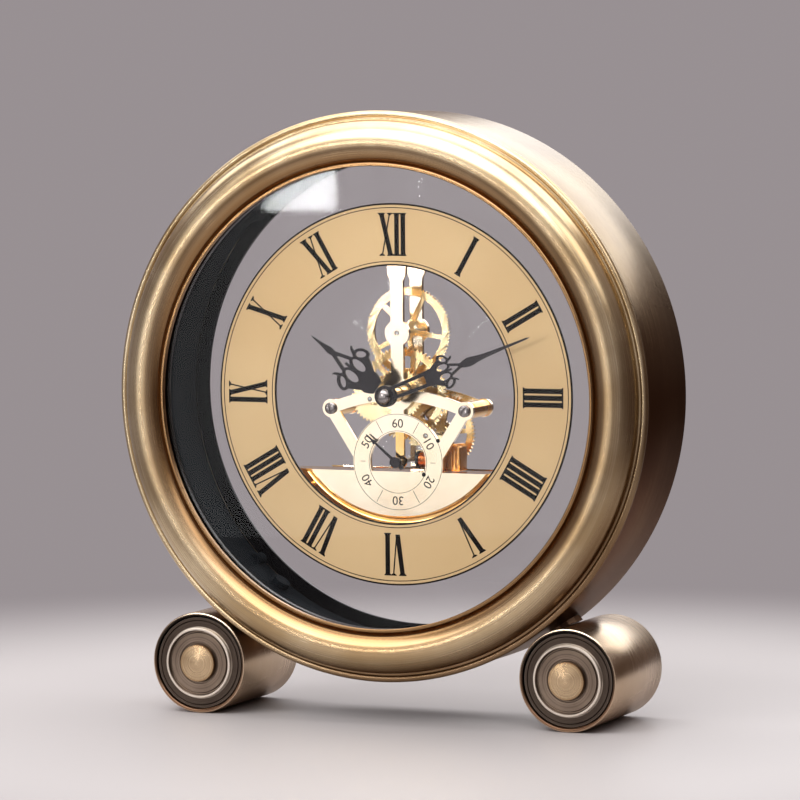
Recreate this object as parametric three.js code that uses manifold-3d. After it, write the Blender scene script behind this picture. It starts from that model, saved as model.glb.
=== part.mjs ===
import * as THREE from 'three';
import { mergeVertices } from 'three/addons/utils/BufferGeometryUtils.js';
import Module from 'manifold-3d';

const wasm = await Module();
wasm.setup();

// A desk clock: a brass drum on two cylinder feet, a dial ring and a skeleton quartz movement
// on a clear disc inside it. Lengths are millimetres. X runs to the right, Y from the front to
// the back and Z up. Depths are counted from the bezel's widest circle, on the clock's axis.

// Clearances that the whole clock shares
const seatGap = 0.3;
const runningGap = 0.25;
const overrun = 1;
const mergeReach = 0.0001;

// Number of flat sides on round pieces, and of steps along curves
const caseFacets = 44;
const innerFacets = 36;
const footFacets = 26;
const capFacets = 20;
const smallFacets = 12;
const scrollFacets = 10;
const tinyFacets = 8;
const holeFacets = 6;
const knobSides = 12;
const nutSides = 6;
const beadSteps = 3;
const rollSteps = 6;
const windowSteps = 4;
const armSteps = 5;

// Drum: the brass tube that everything hangs in
const drumRadius = 99.4;
const drumWall = 2.5;
const drumFront = 2.3;
const edgeBevel = 0.6;

// Front glass, set in from the drum, and the ring that holds it in the bezel
const glassInset = 15.4;
const glassThickness = 2;
const retainerWall = 3;
const retainerLength = 3;

// Bezel: rim bead, groove, half-round roll and a narrow lip over the glass
const rimProud = 0.6;
const beadRadius = 1.3;
const beadDepth = 0.4;
const grooveWidth = 1;
const rollFoot = -1;
const rollHeight = 7.1;
const rollTurnShare = 0.86;
const lipOverlap = 3.25;
const lipWidth = 1.65;
const lipFront = -5.6;
const lipThickness = 1.7;
const spigotWall = 3;
const spigotLength = 3.7;

// Black liner inside the drum, with a boss for each rear screw
const linerInset = 11.4;
const linerWall = 1.6;
const linerFlange = 1.6;
const rearScrewRadius = 1.2;
const rearScrewCount = 4;
const rearHeadRadius = 2.8;
const rearHeadHeight = 1.5;
const bossWall = 1.4;
const bossInset = 0.6;
const bossLength = 6;

// Clear rear disc that carries the movement, and the ring behind it
const discThickness = 2;
const ringThickness = 2;
const ringWidth = 12.6;

// Feet: two barrels below the drum, each with a stepped cap and a conical button
const footRadius = 18;
const footLength = 46.2;
const footFront = -0.5;
const footWall = 2.4;
const footRim = 1.2;
const footAngle = THREE.MathUtils.degToRad(36.15);
const saddleHeight = 1.8;
const saddleRadius = 6;
const footScrewRadius = 1.8;
const footScrewHead = 3.4;
const footScrewHeight = 2.1;
const footScrewReach = 2;
const footScrewShare = 0.67;
const capRecess = 2.7;
const capStep = 1.6;
const capRingShare = 0.7;
const capRingWidth = 1.1;
const capRingHeight = 1.5;
const capDiscShare = 0.6;
const capDiscHeight = 0.7;
const buttonShare = 0.37;
const buttonHeight = 2;
const buttonCone = 0.7;

// Dial ring, set back behind the glass to leave room for the hands
const dialBore = 45.4;
const dialBand = 22;
const dialSetback = 15.3;
const dialThickness = 3;
const dialBevel = 0.5;

// Wheel train: teeth, modules, and the gaps between wheels from the front plate to the rear
const trainWheelTeeth = 64;
const trainPinionTeeth = 8;
const thirdWheelTeeth = 60;
const topWheelTeeth = 80;
const topDriverTeeth = 30;
const hourWheelTeeth = 40;
const hourPinionTeeth = 10;
const motionWheelTeeth = 36;
const cannonTeeth = 12;
const centreModule = 0.5;
const thirdModule = 0.42;
const topWheelZ = 21.5;
const motionReach = 10.8;
const motionAngle = THREE.MathUtils.degToRad(190.5);
const wheelThickness = 1.1;
const hourWheelGap = 0.5;
const motionWheelGap = 0.4;
const centreWheelGap = 0.9;
const topWheelGap = 3.3;
const thirdWheelGap = 2.9;
const rearPlateGap = 2;
const arborRadius = 0.7;
const wheelRim = 2.2;
const wheelHub = 2.6;
const spokeWidth = 1.6;
const spokeCount = 5;
const topSpokeTurn = THREE.MathUtils.degToRad(-8);

// Tooth form: heights above and below the pitch circle as shares of the module, then each
// corner's height from root to tip and its place in the tooth's pitch
const addendumShare = 0.75;
const dedendumShare = 1.15;
const wheelToothShares = [[0, -0.5], [1, 0]];
const leafToothShares = [[0, -0.26], [1, -0.06], [1, 0.06], [0, 0.26]];

// Skeleton plates: strap, hub, arms, legs, seconds ring and base
const plateThickness = 1.6;
const strapWidth = 4.7;
const strapLap = 8.6;
const flareWidth = 7;
const flareLength = 14;
const flareHeight = 2.5;
const hubRadius = 6;
const upperBoss = 4.6;
const sideBoss = 3.3;
const armWidth = 4;
const armBendShare = 0.55;
const armBendZ = -0.8;
const legWidth = 4.4;
const legRise = 0.5;
const secondsZ = -24;
const secondsRing = 17.2;
const secondsBore = 10.6;
const baseTop = -27.4;
const baseInset = 2.2;
const rearBaseHeight = 10.2;
const rearBossRadius = 3.6;
const linkWidth = 5;

// Pillars, screws and nuts that hold the plates
const pillarRadius = 3;
const pillarZ = -5.5;
const pillarClearance = 1.5;
const topPillarInset = 5;
const basePillarDrop = 5.1;
const basePillarShare = 0.77;
const studRadius = 1.5;
const plateScrewRadius = 0.9;
const plateScrewHead = 2.1;
const plateScrewHeight = 0.9;
const plateScrewDepth = 3;
const plateSlotTurn = THREE.MathUtils.degToRad(36);
const slotWidth = 0.7;
const slotDepth = 0.5;
const nutRadius = 3.4;
const nutHeight = 1.6;

// Base block behind the dial's foot, with a full flange and two studs that the dial sits on
const blockLap = 4.6;
const blockHeight = 8.6;
const blockClearance = 2.5;
const blockFlange = 1.6;
const blockStudLap = 2.7;
const blockStudDrop = 6.1;
const blockStudRadius = 1.6;

// Motor: coil on a laminated loop, with the rotor's housing beside it
const coilLength = 8.6;
const coilSeat = 0.6;
const coilClearance = 2.1;
const flangeRadius = 3.1;
const flangeThickness = 0.8;
const bobbinWall = 0.5;
const windingInset = 0.3;
const coreSide = 1.4;
const statorGap = 1;
const statorBar = 1.6;
const statorClearance = 0.7;
const housingWidth = 6.2;
const housingHeight = 9.6;
const housingDepth = 7;
const housingCorner = 1.2;

// Battery box for one small cell, open to the back
const cellRadius = 5.25;
const cellLength = 43.4;
const cellNubRadius = 1.9;
const cellNubLength = 1;
const boxWall = 1.2;
const boxClearance = 1.4;
const boxFlange = 1.8;
const boxFlangeThickness = 1.6;
const coverThickness = 1.8;
const coverLip = 1.8;
const coverGripHeight = 1;
const coverGripWidth = 14;
const coverGripBar = 3;

// Pipes of the hands, one inside the other, and the stud of the motion wheel
const cannonWall = 0.5;
const hourPipeWall = 0.6;
const motionStudRadius = 0.6;
const washerRadius = 1.4;
const washerThickness = 0.35;

// Hands, from the dial forward, and the nut and knob at the ends of their arbor
const handThickness = 0.8;
const handHub = 3.8;
const hourHandLift = 6.1;
const handGap = 1.2;
const hourHandLength = 35.6;
const minuteHandLength = 58.6;
const hourHandTurn = THREE.MathUtils.degToRad(-54.3);
const minuteHandTurn = THREE.MathUtils.degToRad(68.4);
const scrollWall = 0.85;
const nutCapRadius = 2.7;
const nutCapHeight = 1.9;
const nutCapBevel = 0.6;
const knobRadius = 6;
const knobLength = 4.6;

// Seconds hand in the opening of the front plate, and the bridge that its arbor turns in
const secondsHandLift = 1.8;
const secondsHandThickness = 0.5;
const secondsHandLength = 15;
const secondsHandTail = 3.6;
const secondsHandWidth = 1.5;
const secondsHandTip = 0.4;
const secondsHub = 2;
const secondsHubHeight = 1.6;
const secondsHandTurn = THREE.MathUtils.degToRad(-50);
const bridgeWidth = 3.2;
const bridgeThickness = 1.2;
const bridgeClearance = 1.2;
const bridgeHub = 2.4;

// Blades of the hands: place along the hand and half the width there
const hourBladeShares = [[0, 0.05], [0.32, 0.045], [0.6, 0.02], [0.74, 0.04], [1, 0.006]];
const minuteBladeShares = [[0, 0.034], [0.18, 0.026], [0.48, 0.013], [0.56, 0.022], [1, 0.004]];

// Scroll rings of the hands: place along the hand, across it, and radius
const hourScrollShares = [
  [0.355, 0.07, 0.078],
  [0.41, 0.175, 0.07],
  [0.54, 0, 0.085],
];
const minuteScrollShares = [
  [0.19, 0, 0.038],
  [0.28, 0, 0.042],
  [0.39, 0.048, 0.04],
  [0.47, 0, 0.04],
];

// Places of the train's arbors, from the pitch circles
const pitchRadius = (teeth, size) => (teeth * size) / 2;
const tipRadius = (teeth, size) => pitchRadius(teeth, size) + size * addendumShare;
const topModule = (2 * topWheelZ) / (topWheelTeeth + topDriverTeeth);
const motionModule = (2 * motionReach) / (motionWheelTeeth + cannonTeeth);
const hourModule = (2 * motionReach) / (hourWheelTeeth + hourPinionTeeth);
const centreReach = pitchRadius(trainWheelTeeth + trainPinionTeeth, centreModule);
const thirdReach = pitchRadius(thirdWheelTeeth + trainPinionTeeth, thirdModule);
const thirdZ = (centreReach ** 2 - thirdReach ** 2 + secondsZ ** 2) / (2 * secondsZ);
const thirdX = Math.sqrt(centreReach ** 2 - thirdZ ** 2);
const motionX = motionReach * Math.cos(motionAngle);
const motionZ = motionReach * Math.sin(motionAngle);

// Radii of the case, from the drum inward, and of the dial
const drumBore = drumRadius - drumWall;
const sleeveRadius = drumBore - seatGap;
const rimRadius = drumRadius + rimProud;
const glassRadius = drumRadius - glassInset;
const lipRadius = glassRadius - lipOverlap;
const rollOuter = rimRadius - 2 * beadRadius - grooveWidth;
const rollInner = lipRadius + lipWidth;
const linerBore = drumRadius - linerInset;
const linerFlat = linerBore * Math.cos(Math.PI / innerFacets);
const bossRadius = rearScrewRadius + bossWall;
const rearScrewRing = linerBore + bossInset;
const dialRadius = dialBore + dialBand;

// Depths from the glass back through the dial, the plates and wheels to the drum's rear edge
const glassFront = lipFront + lipThickness + seatGap;
const glassRear = glassFront + glassThickness;
const dialFront = glassRear + dialSetback;
const plateFront = dialFront + dialThickness + seatGap;
const plateRear = plateFront + plateThickness;
const behindPlate = plateRear + seatGap;
const hourWheelFront = plateRear + hourWheelGap;
const motionWheelFront = hourWheelFront + wheelThickness + motionWheelGap;
const centreWheelFront = motionWheelFront + wheelThickness + centreWheelGap;
const topWheelFront = centreWheelFront + wheelThickness + topWheelGap;
const thirdWheelFront = topWheelFront + wheelThickness + thirdWheelGap;
const rearPlateFront = thirdWheelFront + wheelThickness + rearPlateGap + seatGap;
const rearPlateRear = rearPlateFront + plateThickness;
const discFront = rearPlateRear + seatGap;
const discRear = discFront + discThickness;
const behindDisc = discRear + seatGap;
const ringRear = behindDisc + ringThickness;
const drumRear = ringRear + seatGap;
const spigotRear = drumFront - seatGap + spigotLength;
const linerFront = spigotRear + seatGap;
const linerRear = discFront - seatGap;
const blockRear = thirdWheelFront - blockClearance;
const hourHandDepth = dialFront - hourHandLift;
const minuteHandDepth = hourHandDepth - handThickness - handGap;
const secondsHandDepth = plateFront - secondsHandLift;

// Feet: where they stand and how high they hold the clock's axis
const footDistance = drumRadius + saddleHeight + footRadius;
const footX = footDistance * Math.sin(footAngle);
const footDrop = footDistance * Math.cos(footAngle);
const footRear = footFront + footLength;
const axisHeight = footDrop + footRadius;
const footScrewDepth = drumFront + (drumRear - drumFront) * footScrewShare;

// Places on the plates, from the dial ring, the base and the third wheel
const strapTop = dialBore + strapLap;
const topPillarZ = strapTop - topPillarInset;
const pillarReach = tipRadius(thirdWheelTeeth, thirdModule) + pillarRadius + pillarClearance;
const pillarX = thirdX + Math.sqrt(pillarReach ** 2 - (pillarZ - thirdZ) ** 2);
const baseRadius = dialBore - baseInset;
const basePillarZ = baseTop - basePillarDrop;
const basePillarX = basePillarShare * Math.sqrt(baseRadius ** 2 - basePillarZ ** 2);
const rearBaseBottom = baseTop - rearBaseHeight;
const legFootX = (secondsRing + secondsBore) / 2;
const bridgeTop = -tipRadius(hourWheelTeeth, hourModule) - bridgeClearance;
const blockRadius = dialBore + blockLap;
const blockStudZ = baseTop - blockStudDrop;
const blockStudX = Math.sqrt((dialBore + blockStudLap) ** 2 - blockStudZ ** 2);
const boxTop = rearBaseBottom - boxClearance;

// Place of the coil, which sits on the base block in front of the third wheel
const coilStart = arborRadius + statorClearance + statorBar + statorGap;
const coilZ = baseTop + coilSeat + flangeRadius;
const coilDepth = thirdWheelFront - coilClearance - flangeRadius;

// Pipes of the hands
const cannonBore = arborRadius + seatGap;
const cannonPipe = cannonBore + cannonWall;
const hourBore = cannonPipe + runningGap;
const hourPipe = hourBore + hourPipeWall;

// Solids: a geometry with its shared corners merged, turned so that its faces point out
function merged(geometry) {
  const bare = new THREE.BufferGeometry();
  bare.setAttribute('position', geometry.getAttribute('position').clone());
  bare.setIndex(geometry.index ? geometry.index.clone() : null);
  return mergeVertices(bare, mergeReach);
}

function signedVolume(geometry) {
  const place = geometry.getAttribute('position');
  const index = geometry.index;
  const corner = [0, 1, 2].map(() => new THREE.Vector3());
  let sum = 0;
  for (let i = 0; i < index.count; i += 3) {
    corner.forEach((point, k) => point.fromBufferAttribute(place, index.getX(i + k)));
    sum += corner[0].dot(corner[1].cross(corner[2]));
  }
  return sum;
}

function facingOut(geometry) {
  const solid = merged(geometry);
  if (signedVolume(solid) < 0) {
    const index = solid.index.array;
    for (let i = 0; i < index.length; i += 3) {
      [index[i], index[i + 1]] = [index[i + 1], index[i]];
    }
  }
  return solid;
}

function toManifold(geometry) {
  const solid = facingOut(geometry);
  const vertProperties = new Float32Array(solid.getAttribute('position').array);
  const triVerts = new Uint32Array(solid.index.array);
  return new wasm.Manifold(new wasm.Mesh({ numProp: 3, vertProperties, triVerts }));
}

function toGeometry(manifold) {
  const mesh = manifold.getMesh();
  const geometry = new THREE.BufferGeometry();
  geometry.setAttribute('position', new THREE.BufferAttribute(mesh.vertProperties, 3));
  geometry.setIndex(new THREE.BufferAttribute(mesh.triVerts, 1));
  return geometry;
}

function joined(...geometries) {
  return toGeometry(geometries.map(toManifold).reduce((whole, next) => whole.add(next)));
}

function cut(geometry, ...tools) {
  return toGeometry(tools.map(toManifold).reduce((left, tool) => left.subtract(tool),
    toManifold(geometry)));
}

// Turned forms. A profile is a list of [radius, depth] pairs, revolved about the Y axis
function revolved(profile, facets, turn = 0) {
  const points = profile.map(([radius, depth]) => new THREE.Vector2(radius, depth));
  const onAxis = profile[0][0] === 0 && profile.at(-1)[0] === 0;
  if (!onAxis) {
    points.push(points[0].clone());
  }
  return facingOut(new THREE.LatheGeometry(points, facets, turn));
}

function tube(bore, radius, front, rear, facets) {
  return revolved([[bore, front], [radius, front], [radius, rear], [bore, rear]], facets);
}

function rod(radius, front, rear, facets) {
  return revolved([[0, front], [radius, front], [radius, rear], [0, rear]], facets);
}

// A stepped shaft from its front end: each step is a radius and the depth where it ends
function spindle(front, steps, facets) {
  const profile = [[0, front]];
  let depth = front;
  for (const [radius, end] of steps) {
    profile.push([radius, depth], [radius, end]);
    depth = end;
  }
  profile.push([0, depth]);
  return revolved(profile, facets);
}

function rodAt(x, z, radius, front, rear, facets) {
  return rod(radius, front, rear, facets).translate(x, 0, z);
}

// Flat forms. A shape is drawn in X and Z, and its plate runs back from its front face
function plate(shape, front, thickness) {
  const geometry = new THREE.ExtrudeGeometry(shape, { depth: thickness, bevelEnabled: false });
  return facingOut(geometry.rotateX(Math.PI / 2).translate(0, front + thickness, 0));
}

function outline(points) {
  return new THREE.Shape(points.map(([x, z]) => new THREE.Vector2(x, z)));
}

function rectangle(left, bottom, right, top) {
  return outline([[left, bottom], [right, bottom], [right, top], [left, top]]);
}

function block(left, bottom, right, top, front, rear) {
  return plate(rectangle(left, bottom, right, top), front, rear - front);
}

function circlePoints(radius, count, x = 0, z = 0) {
  return Array.from({ length: count }, (_, i) => {
    const angle = (2 * Math.PI * (i + 0.5)) / count;
    return [x + radius * Math.cos(angle), z + radius * Math.sin(angle)];
  });
}

function disc(x, z, radius, front, thickness, facets) {
  return plate(outline(circlePoints(radius, facets, x, z)), front, thickness);
}

function bar(from, to, width, front, thickness) {
  const along = new THREE.Vector2(to[0] - from[0], to[1] - from[1]).normalize();
  const [sideX, sideZ] = [(-along.y * width) / 2, (along.x * width) / 2];
  const shape = outline([
    [from[0] + sideX, from[1] + sideZ],
    [from[0] - sideX, from[1] - sideZ],
    [to[0] - sideX, to[1] - sideZ],
    [to[0] + sideX, to[1] + sideZ],
  ]);
  return plate(shape, front, thickness);
}

// A curved arm of even width along a bent line
function ribbon(curve, width, steps, front, thickness) {
  const left = [];
  const right = [];
  for (let i = 0; i <= steps; i += 1) {
    const point = curve.getPoint(i / steps);
    const along = curve.getTangent(i / steps);
    left.push([point.x - (along.y * width) / 2, point.y + (along.x * width) / 2]);
    right.unshift([point.x + (along.y * width) / 2, point.y - (along.x * width) / 2]);
  }
  return plate(outline([...left, ...right]), front, thickness);
}

// The part of a circle between two heights below its centre
function segmentPlate(radius, top, bottom, steps, front, thickness) {
  const start = Math.asin(top / radius);
  const end = Math.max(Math.asin(Math.max(bottom / radius, -1)), -Math.PI / 2);
  const right = [];
  for (let i = 0; i <= steps; i += 1) {
    const angle = start + ((end - start) * i) / steps;
    right.push([radius * Math.cos(angle), radius * Math.sin(angle)]);
  }
  const left = right.filter(([x]) => x > seatGap).map(([x, z]) => [-x, z]).reverse();
  return plate(outline([...right, ...left]), front, thickness);
}

// Gear outlines: the first tooth is centred on the given turn
function toothedOutline(teeth, size, toothShares, turn) {
  const pitch = (2 * Math.PI) / teeth;
  const root = pitchRadius(teeth, size) - size * dedendumShare;
  const height = size * (addendumShare + dedendumShare);
  const points = [];
  for (let i = 0; i < teeth; i += 1) {
    for (const [up, along] of toothShares) {
      const radius = root + height * up;
      const angle = turn + (i + along) * pitch;
      points.push([radius * Math.cos(angle), radius * Math.sin(angle)]);
    }
  }
  return outline(points);
}

// One opening between two spokes, with arcs along the rim and the hub
function spokeWindow(inner, outer, from, to) {
  const points = [];
  for (let i = 0; i <= windowSteps; i += 1) {
    const side = Math.asin(spokeWidth / 2 / outer);
    const angle = from + side + ((to - from - 2 * side) * i) / windowSteps;
    points.push(new THREE.Vector2(outer * Math.cos(angle), outer * Math.sin(angle)));
  }
  for (let i = windowSteps; i >= 0; i -= 2) {
    const side = Math.asin(spokeWidth / 2 / inner);
    const angle = from + side + ((to - from - 2 * side) * i) / windowSteps;
    points.push(new THREE.Vector2(inner * Math.cos(angle), inner * Math.sin(angle)));
  }
  return new THREE.Path(points);
}

function circleHole(radius, count, x = 0, z = 0) {
  return new THREE.Path(circlePoints(radius, count, x, z).map(([px, pz]) => new THREE.Vector2(px, pz)));
}

// A spoked wheel with a bore for its arbor
function spokedWheel(teeth, size, turn, spokeTurn, front) {
  const shape = toothedOutline(teeth, size, wheelToothShares, turn);
  const rim = pitchRadius(teeth, size) - size * dedendumShare - wheelRim;
  for (let i = 0; i < spokeCount; i += 1) {
    const from = spokeTurn + (2 * Math.PI * i) / spokeCount;
    const to = spokeTurn + (2 * Math.PI * (i + 1)) / spokeCount;
    shape.holes.push(spokeWindow(wheelHub, rim, from, to));
  }
  shape.holes.push(circleHole(arborRadius + seatGap, holeFacets));
  return plate(shape, front, wheelThickness);
}

function pinion(teeth, size, turn, front) {
  return plate(toothedOutline(teeth, size, leafToothShares, turn), front, wheelThickness);
}

// Turn that puts a gap, not a tooth, on the line to the wheel that it meets
function gapTurn(direction, teeth) {
  return direction + Math.PI / teeth;
}

// Finishes
const finishes = {
  brass: { color: 0xb89a66, roughness: 0.38, metalness: 1 },
  paleGold: { color: 0xd9bb82, roughness: 0.3, metalness: 1 },
  mirrorGold: { color: 0xe9cf95, roughness: 0.12, metalness: 1 },
  bronze: { color: 0x4b3b2e, roughness: 0.45, metalness: 0.9 },
  black: { color: 0x141414, roughness: 0.5, metalness: 0 },
  blackened: { color: 0x26282b, roughness: 0.4, metalness: 0.6 },
  steel: { color: 0xb9bcc0, roughness: 0.3, metalness: 1 },
  copper: { color: 0xb0643a, roughness: 0.4, metalness: 0.9 },
  clear: { color: 0xf4f7f7, roughness: 0.05, metalness: 0, transparent: true, opacity: 0.2 },
  cellGreen: { color: 0x3f6d4f, roughness: 0.35, metalness: 0.2 },
};

function piece(group, name, finish, geometry) {
  const mesh = new THREE.Mesh(geometry, new THREE.MeshStandardMaterial(finishes[finish]));
  mesh.name = name;
  group.add(mesh);
  return mesh;
}

// A group for what turns about one arbor
function arborGroup(x, z) {
  const group = new THREE.Group();
  group.position.set(x, 0, z);
  clock.add(group);
  return group;
}

// The whole clock stands with the middle of its outline, at floor level, on the origin
const frontDepth = Math.min(...bezelProfile().map(([, depth]) => depth));
const clock = new THREE.Group();
clock.position.set(0, -(frontDepth + footRear) / 2, axisHeight);

// Turned solids that point from the clock's axis towards a foot, -1 for left and 1 for right
function towardsFoot(geometry, side, depth) {
  return geometry.rotateX(-Math.PI / 2).translate(0, depth, 0).rotateY(-side * footAngle);
}

function footScrewHole(side) {
  const reach = footDistance - footRadius + footWall + overrun;
  const hole = rod(footScrewRadius + seatGap, linerBore - overrun, reach, tinyFacets);
  return towardsFoot(hole, side, footScrewDepth);
}

const rearScrewPlaces = circlePoints(rearScrewRing, rearScrewCount);
const sides = [['left', -1], ['right', 1]];

function buildCase() {
  const drum = revolved([
    [drumBore, drumFront],
    [drumRadius, drumFront],
    [drumRadius, drumRear - edgeBevel],
    [drumRadius - edgeBevel, drumRear],
    [drumBore, drumRear],
  ], caseFacets);
  piece(clock, 'drum_case', 'brass', cut(drum, footScrewHole(-1), footScrewHole(1)));
  piece(clock, 'front_bezel', 'brass', revolved(bezelProfile(), caseFacets));

  piece(clock, 'front_glass', 'clear', rod(glassRadius, glassFront, glassRear, caseFacets));
  const retainerFront = glassRear + seatGap;
  piece(clock, 'glass_retainer', 'brass', tube(glassRadius - retainerWall, glassRadius,
    retainerFront, retainerFront + retainerLength, innerFacets));
}

function bezelProfile() {
  const back = drumFront - seatGap;
  const rebate = glassRadius + seatGap;
  const beadCentre = rimRadius - beadRadius;
  const rollCentre = (rollOuter + rollInner) / 2;
  const rollHalf = (rollOuter - rollInner) / 2;
  const profile = [
    [drumRadius, back],
    [sleeveRadius, back],
    [sleeveRadius, spigotRear],
    [sleeveRadius - spigotWall, spigotRear],
    [sleeveRadius - spigotWall, back],
    [rebate, back],
    [rebate, lipFront + lipThickness],
    [lipRadius, lipFront + lipThickness],
    [lipRadius, lipFront],
    [rollInner, lipFront],
  ];
  for (let i = rollSteps; i >= 0; i -= 1) {
    const angle = (Math.PI * rollTurnShare * i) / rollSteps;
    profile.push([rollCentre + rollHalf * Math.cos(angle), rollFoot - rollHeight * Math.sin(angle)]);
  }
  profile.push([rimRadius - 2 * beadRadius - grooveWidth / 2, beadDepth]);
  for (let i = 0; i <= beadSteps; i += 1) {
    const angle = Math.PI * (1 - i / beadSteps);
    profile.push([beadCentre + beadRadius * Math.cos(angle), beadDepth - beadRadius * Math.sin(angle)]);
  }
  return profile;
}

function buildLinerAndBack() {
  const linerShell = revolved([
    [linerBore, linerFront],
    [sleeveRadius, linerFront],
    [sleeveRadius, linerFront + linerFlange],
    [linerBore + linerWall, linerFront + linerFlange],
    [linerBore + linerWall, linerRear - linerFlange],
    [sleeveRadius, linerRear - linerFlange],
    [sleeveRadius, linerRear],
    [linerBore, linerRear],
  ], innerFacets);
  const bosses = rearScrewPlaces.map(([x, z]) =>
    rodAt(x, z, bossRadius, linerRear - bossLength, linerRear, tinyFacets));
  const bossHoles = rearScrewPlaces.map(([x, z]) => rodAt(x, z, rearScrewRadius + seatGap,
    linerRear - bossLength + linerWall, linerRear + overrun, holeFacets));
  piece(clock, 'inner_liner', 'black',
    cut(joined(linerShell, ...bosses), ...bossHoles, footScrewHole(-1), footScrewHole(1)));

  const glass = outline(circlePoints(sleeveRadius, innerFacets));
  const studHole = studRadius + seatGap;
  glass.holes.push(circleHole(arborRadius + seatGap, holeFacets));
  glass.holes.push(circleHole(studHole, holeFacets, 0, topPillarZ));
  glass.holes.push(circleHole(studHole, holeFacets, -basePillarX, basePillarZ));
  glass.holes.push(circleHole(studHole, holeFacets, basePillarX, basePillarZ));
  for (const [x, z] of rearScrewPlaces) {
    glass.holes.push(circleHole(rearScrewRadius + seatGap, holeFacets, x, z));
  }
  const [left, bottom, right, top] = boxSpan(seatGap);
  glass.holes.push(new THREE.Path(rectangle(left, bottom, right, top).getPoints()));
  piece(clock, 'rear_disc', 'clear', plate(glass, discFront, discThickness));

  const ring = revolved([
    [sleeveRadius - ringWidth, behindDisc],
    [sleeveRadius, behindDisc],
    [sleeveRadius, ringRear],
    [sleeveRadius - ringWidth + edgeBevel, ringRear],
    [sleeveRadius - ringWidth, ringRear - edgeBevel],
  ], innerFacets);
  const ringHoles = rearScrewPlaces.map(([x, z]) => rodAt(x, z, rearScrewRadius + seatGap,
    behindDisc - overrun, ringRear + overrun, holeFacets));
  piece(clock, 'rear_ring', 'brass', cut(ring, ...ringHoles));

  rearScrewPlaces.forEach(([x, z], i) => {
    const head = ringRear + seatGap;
    const screw = spindle(linerRear - bossLength + linerWall + seatGap, [
      [rearScrewRadius, head],
      [rearHeadRadius, head + rearHeadHeight],
    ], tinyFacets);
    piece(clock, `rear_screw_${i + 1}`, 'steel', screw.translate(x, 0, z));
  });
}

// A foot's centre line is X = side * footX, footDrop below the axis
function footSolid(profile, side, facets) {
  return revolved(profile, facets, Math.PI / facets).translate(side * footX, 0, -footDrop);
}

function buildFoot(label, side) {
  // The barrel's flats lie on its true circle, so that it stands on one of them
  const outer = footRadius / Math.cos(Math.PI / footFacets);
  const lipInner = footRadius - footRim;
  const seat = footFront + capRecess;
  const barrel = footSolid([
    [0, footRear],
    [outer - edgeBevel, footRear],
    [outer, footRear - edgeBevel],
    [outer, footFront + edgeBevel],
    [outer - edgeBevel, footFront],
    [lipInner, footFront],
    [lipInner, seat],
    [footRadius - footWall, seat],
    [footRadius - footWall, footRear - footWall],
    [0, footRear - footWall],
  ], side, footFacets);
  piece(clock, `foot_barrel_${label}`, 'brass', cut(barrel, footScrewHole(side)));

  const capRear = seat - seatGap;
  const capFace = capRear - capStep;
  const discFace = capFace - capDiscHeight;
  piece(clock, `foot_cap_${label}`, 'bronze', footSolid([
    [0, capRear],
    [lipInner - seatGap, capRear],
    [lipInner - seatGap, capFace],
    [footRadius * capRingShare, capFace],
    [footRadius * capRingShare, capFace - capRingHeight],
    [footRadius * capRingShare - capRingWidth, capFace - capRingHeight],
    [footRadius * capDiscShare, capFace],
    [footRadius * capDiscShare, discFace],
    [0, discFace],
  ], side, capFacets));

  const buttonRear = discFace - seatGap;
  const buttonFace = buttonRear - buttonHeight;
  piece(clock, `foot_button_${label}`, 'paleGold', footSolid([
    [0, buttonRear],
    [footRadius * buttonShare, buttonRear],
    [footRadius * buttonShare, buttonFace + buttonCone],
    [0, buttonFace],
  ], side, capFacets));

  const pad = towardsFoot(rod(saddleRadius, drumRadius - overrun, footDistance, smallFacets), side,
    footScrewDepth);
  const drumCutter = rod(drumRadius + seatGap, drumFront, drumRear, caseFacets);
  const footCutter = footSolid([
    [0, footRear],
    [outer + seatGap, footRear],
    [outer + seatGap, footFront],
    [0, footFront],
  ], side, footFacets);
  piece(clock, `foot_saddle_${label}`, 'brass', cut(pad, drumCutter, footCutter, footScrewHole(side)));

  const headFoot = linerFlat - seatGap;
  const tip = footDistance - footRadius + footWall + footScrewReach;
  const screw = spindle(headFoot - footScrewHeight, [
    [footScrewHead, headFoot],
    [footScrewRadius, tip],
  ], tinyFacets);
  piece(clock, `foot_screw_${label}`, 'blackened', towardsFoot(screw, side, footScrewDepth));
}

function buildDial() {
  piece(clock, 'dial_ring', 'paleGold', revolved([
    [dialBore, dialFront],
    [dialRadius - dialBevel, dialFront],
    [dialRadius, dialFront + dialBevel],
    [dialRadius, dialFront + dialThickness],
    [dialBore, dialFront + dialThickness],
  ], caseFacets));
}

// What both skeleton plates share: strap with its flare, hub, upper boss, arms and side bosses
function skeletonPlates(front) {
  const flare = outline([
    [-strapWidth / 2, strapTop - flareLength],
    [strapWidth / 2, strapTop - flareLength],
    [flareWidth / 2, strapTop - flareLength + flareHeight],
    [flareWidth / 2, strapTop],
    [-flareWidth / 2, strapTop],
    [-flareWidth / 2, strapTop - flareLength + flareHeight],
  ]);
  const pieces = [
    bar([0, secondsZ + secondsBore + overrun], [0, strapTop], strapWidth, front, plateThickness),
    plate(flare, front, plateThickness),
    disc(0, 0, hubRadius, front, plateThickness, smallFacets),
    disc(0, topWheelZ, upperBoss, front, plateThickness, smallFacets),
  ];
  for (const [, side] of sides) {
    const arm = new THREE.QuadraticBezierCurve(
      new THREE.Vector2(0, 0),
      new THREE.Vector2(side * pillarX * armBendShare, armBendZ),
      new THREE.Vector2(side * pillarX, pillarZ),
    );
    pieces.push(ribbon(arm, armWidth, armSteps, front, plateThickness));
    pieces.push(disc(side * pillarX, pillarZ, sideBoss, front, plateThickness, smallFacets));
  }
  return pieces;
}

function plateHole(x, z, radius, front, facets = holeFacets) {
  return rodAt(x, z, radius, front - overrun, front + plateThickness + overrun, facets);
}

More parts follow.
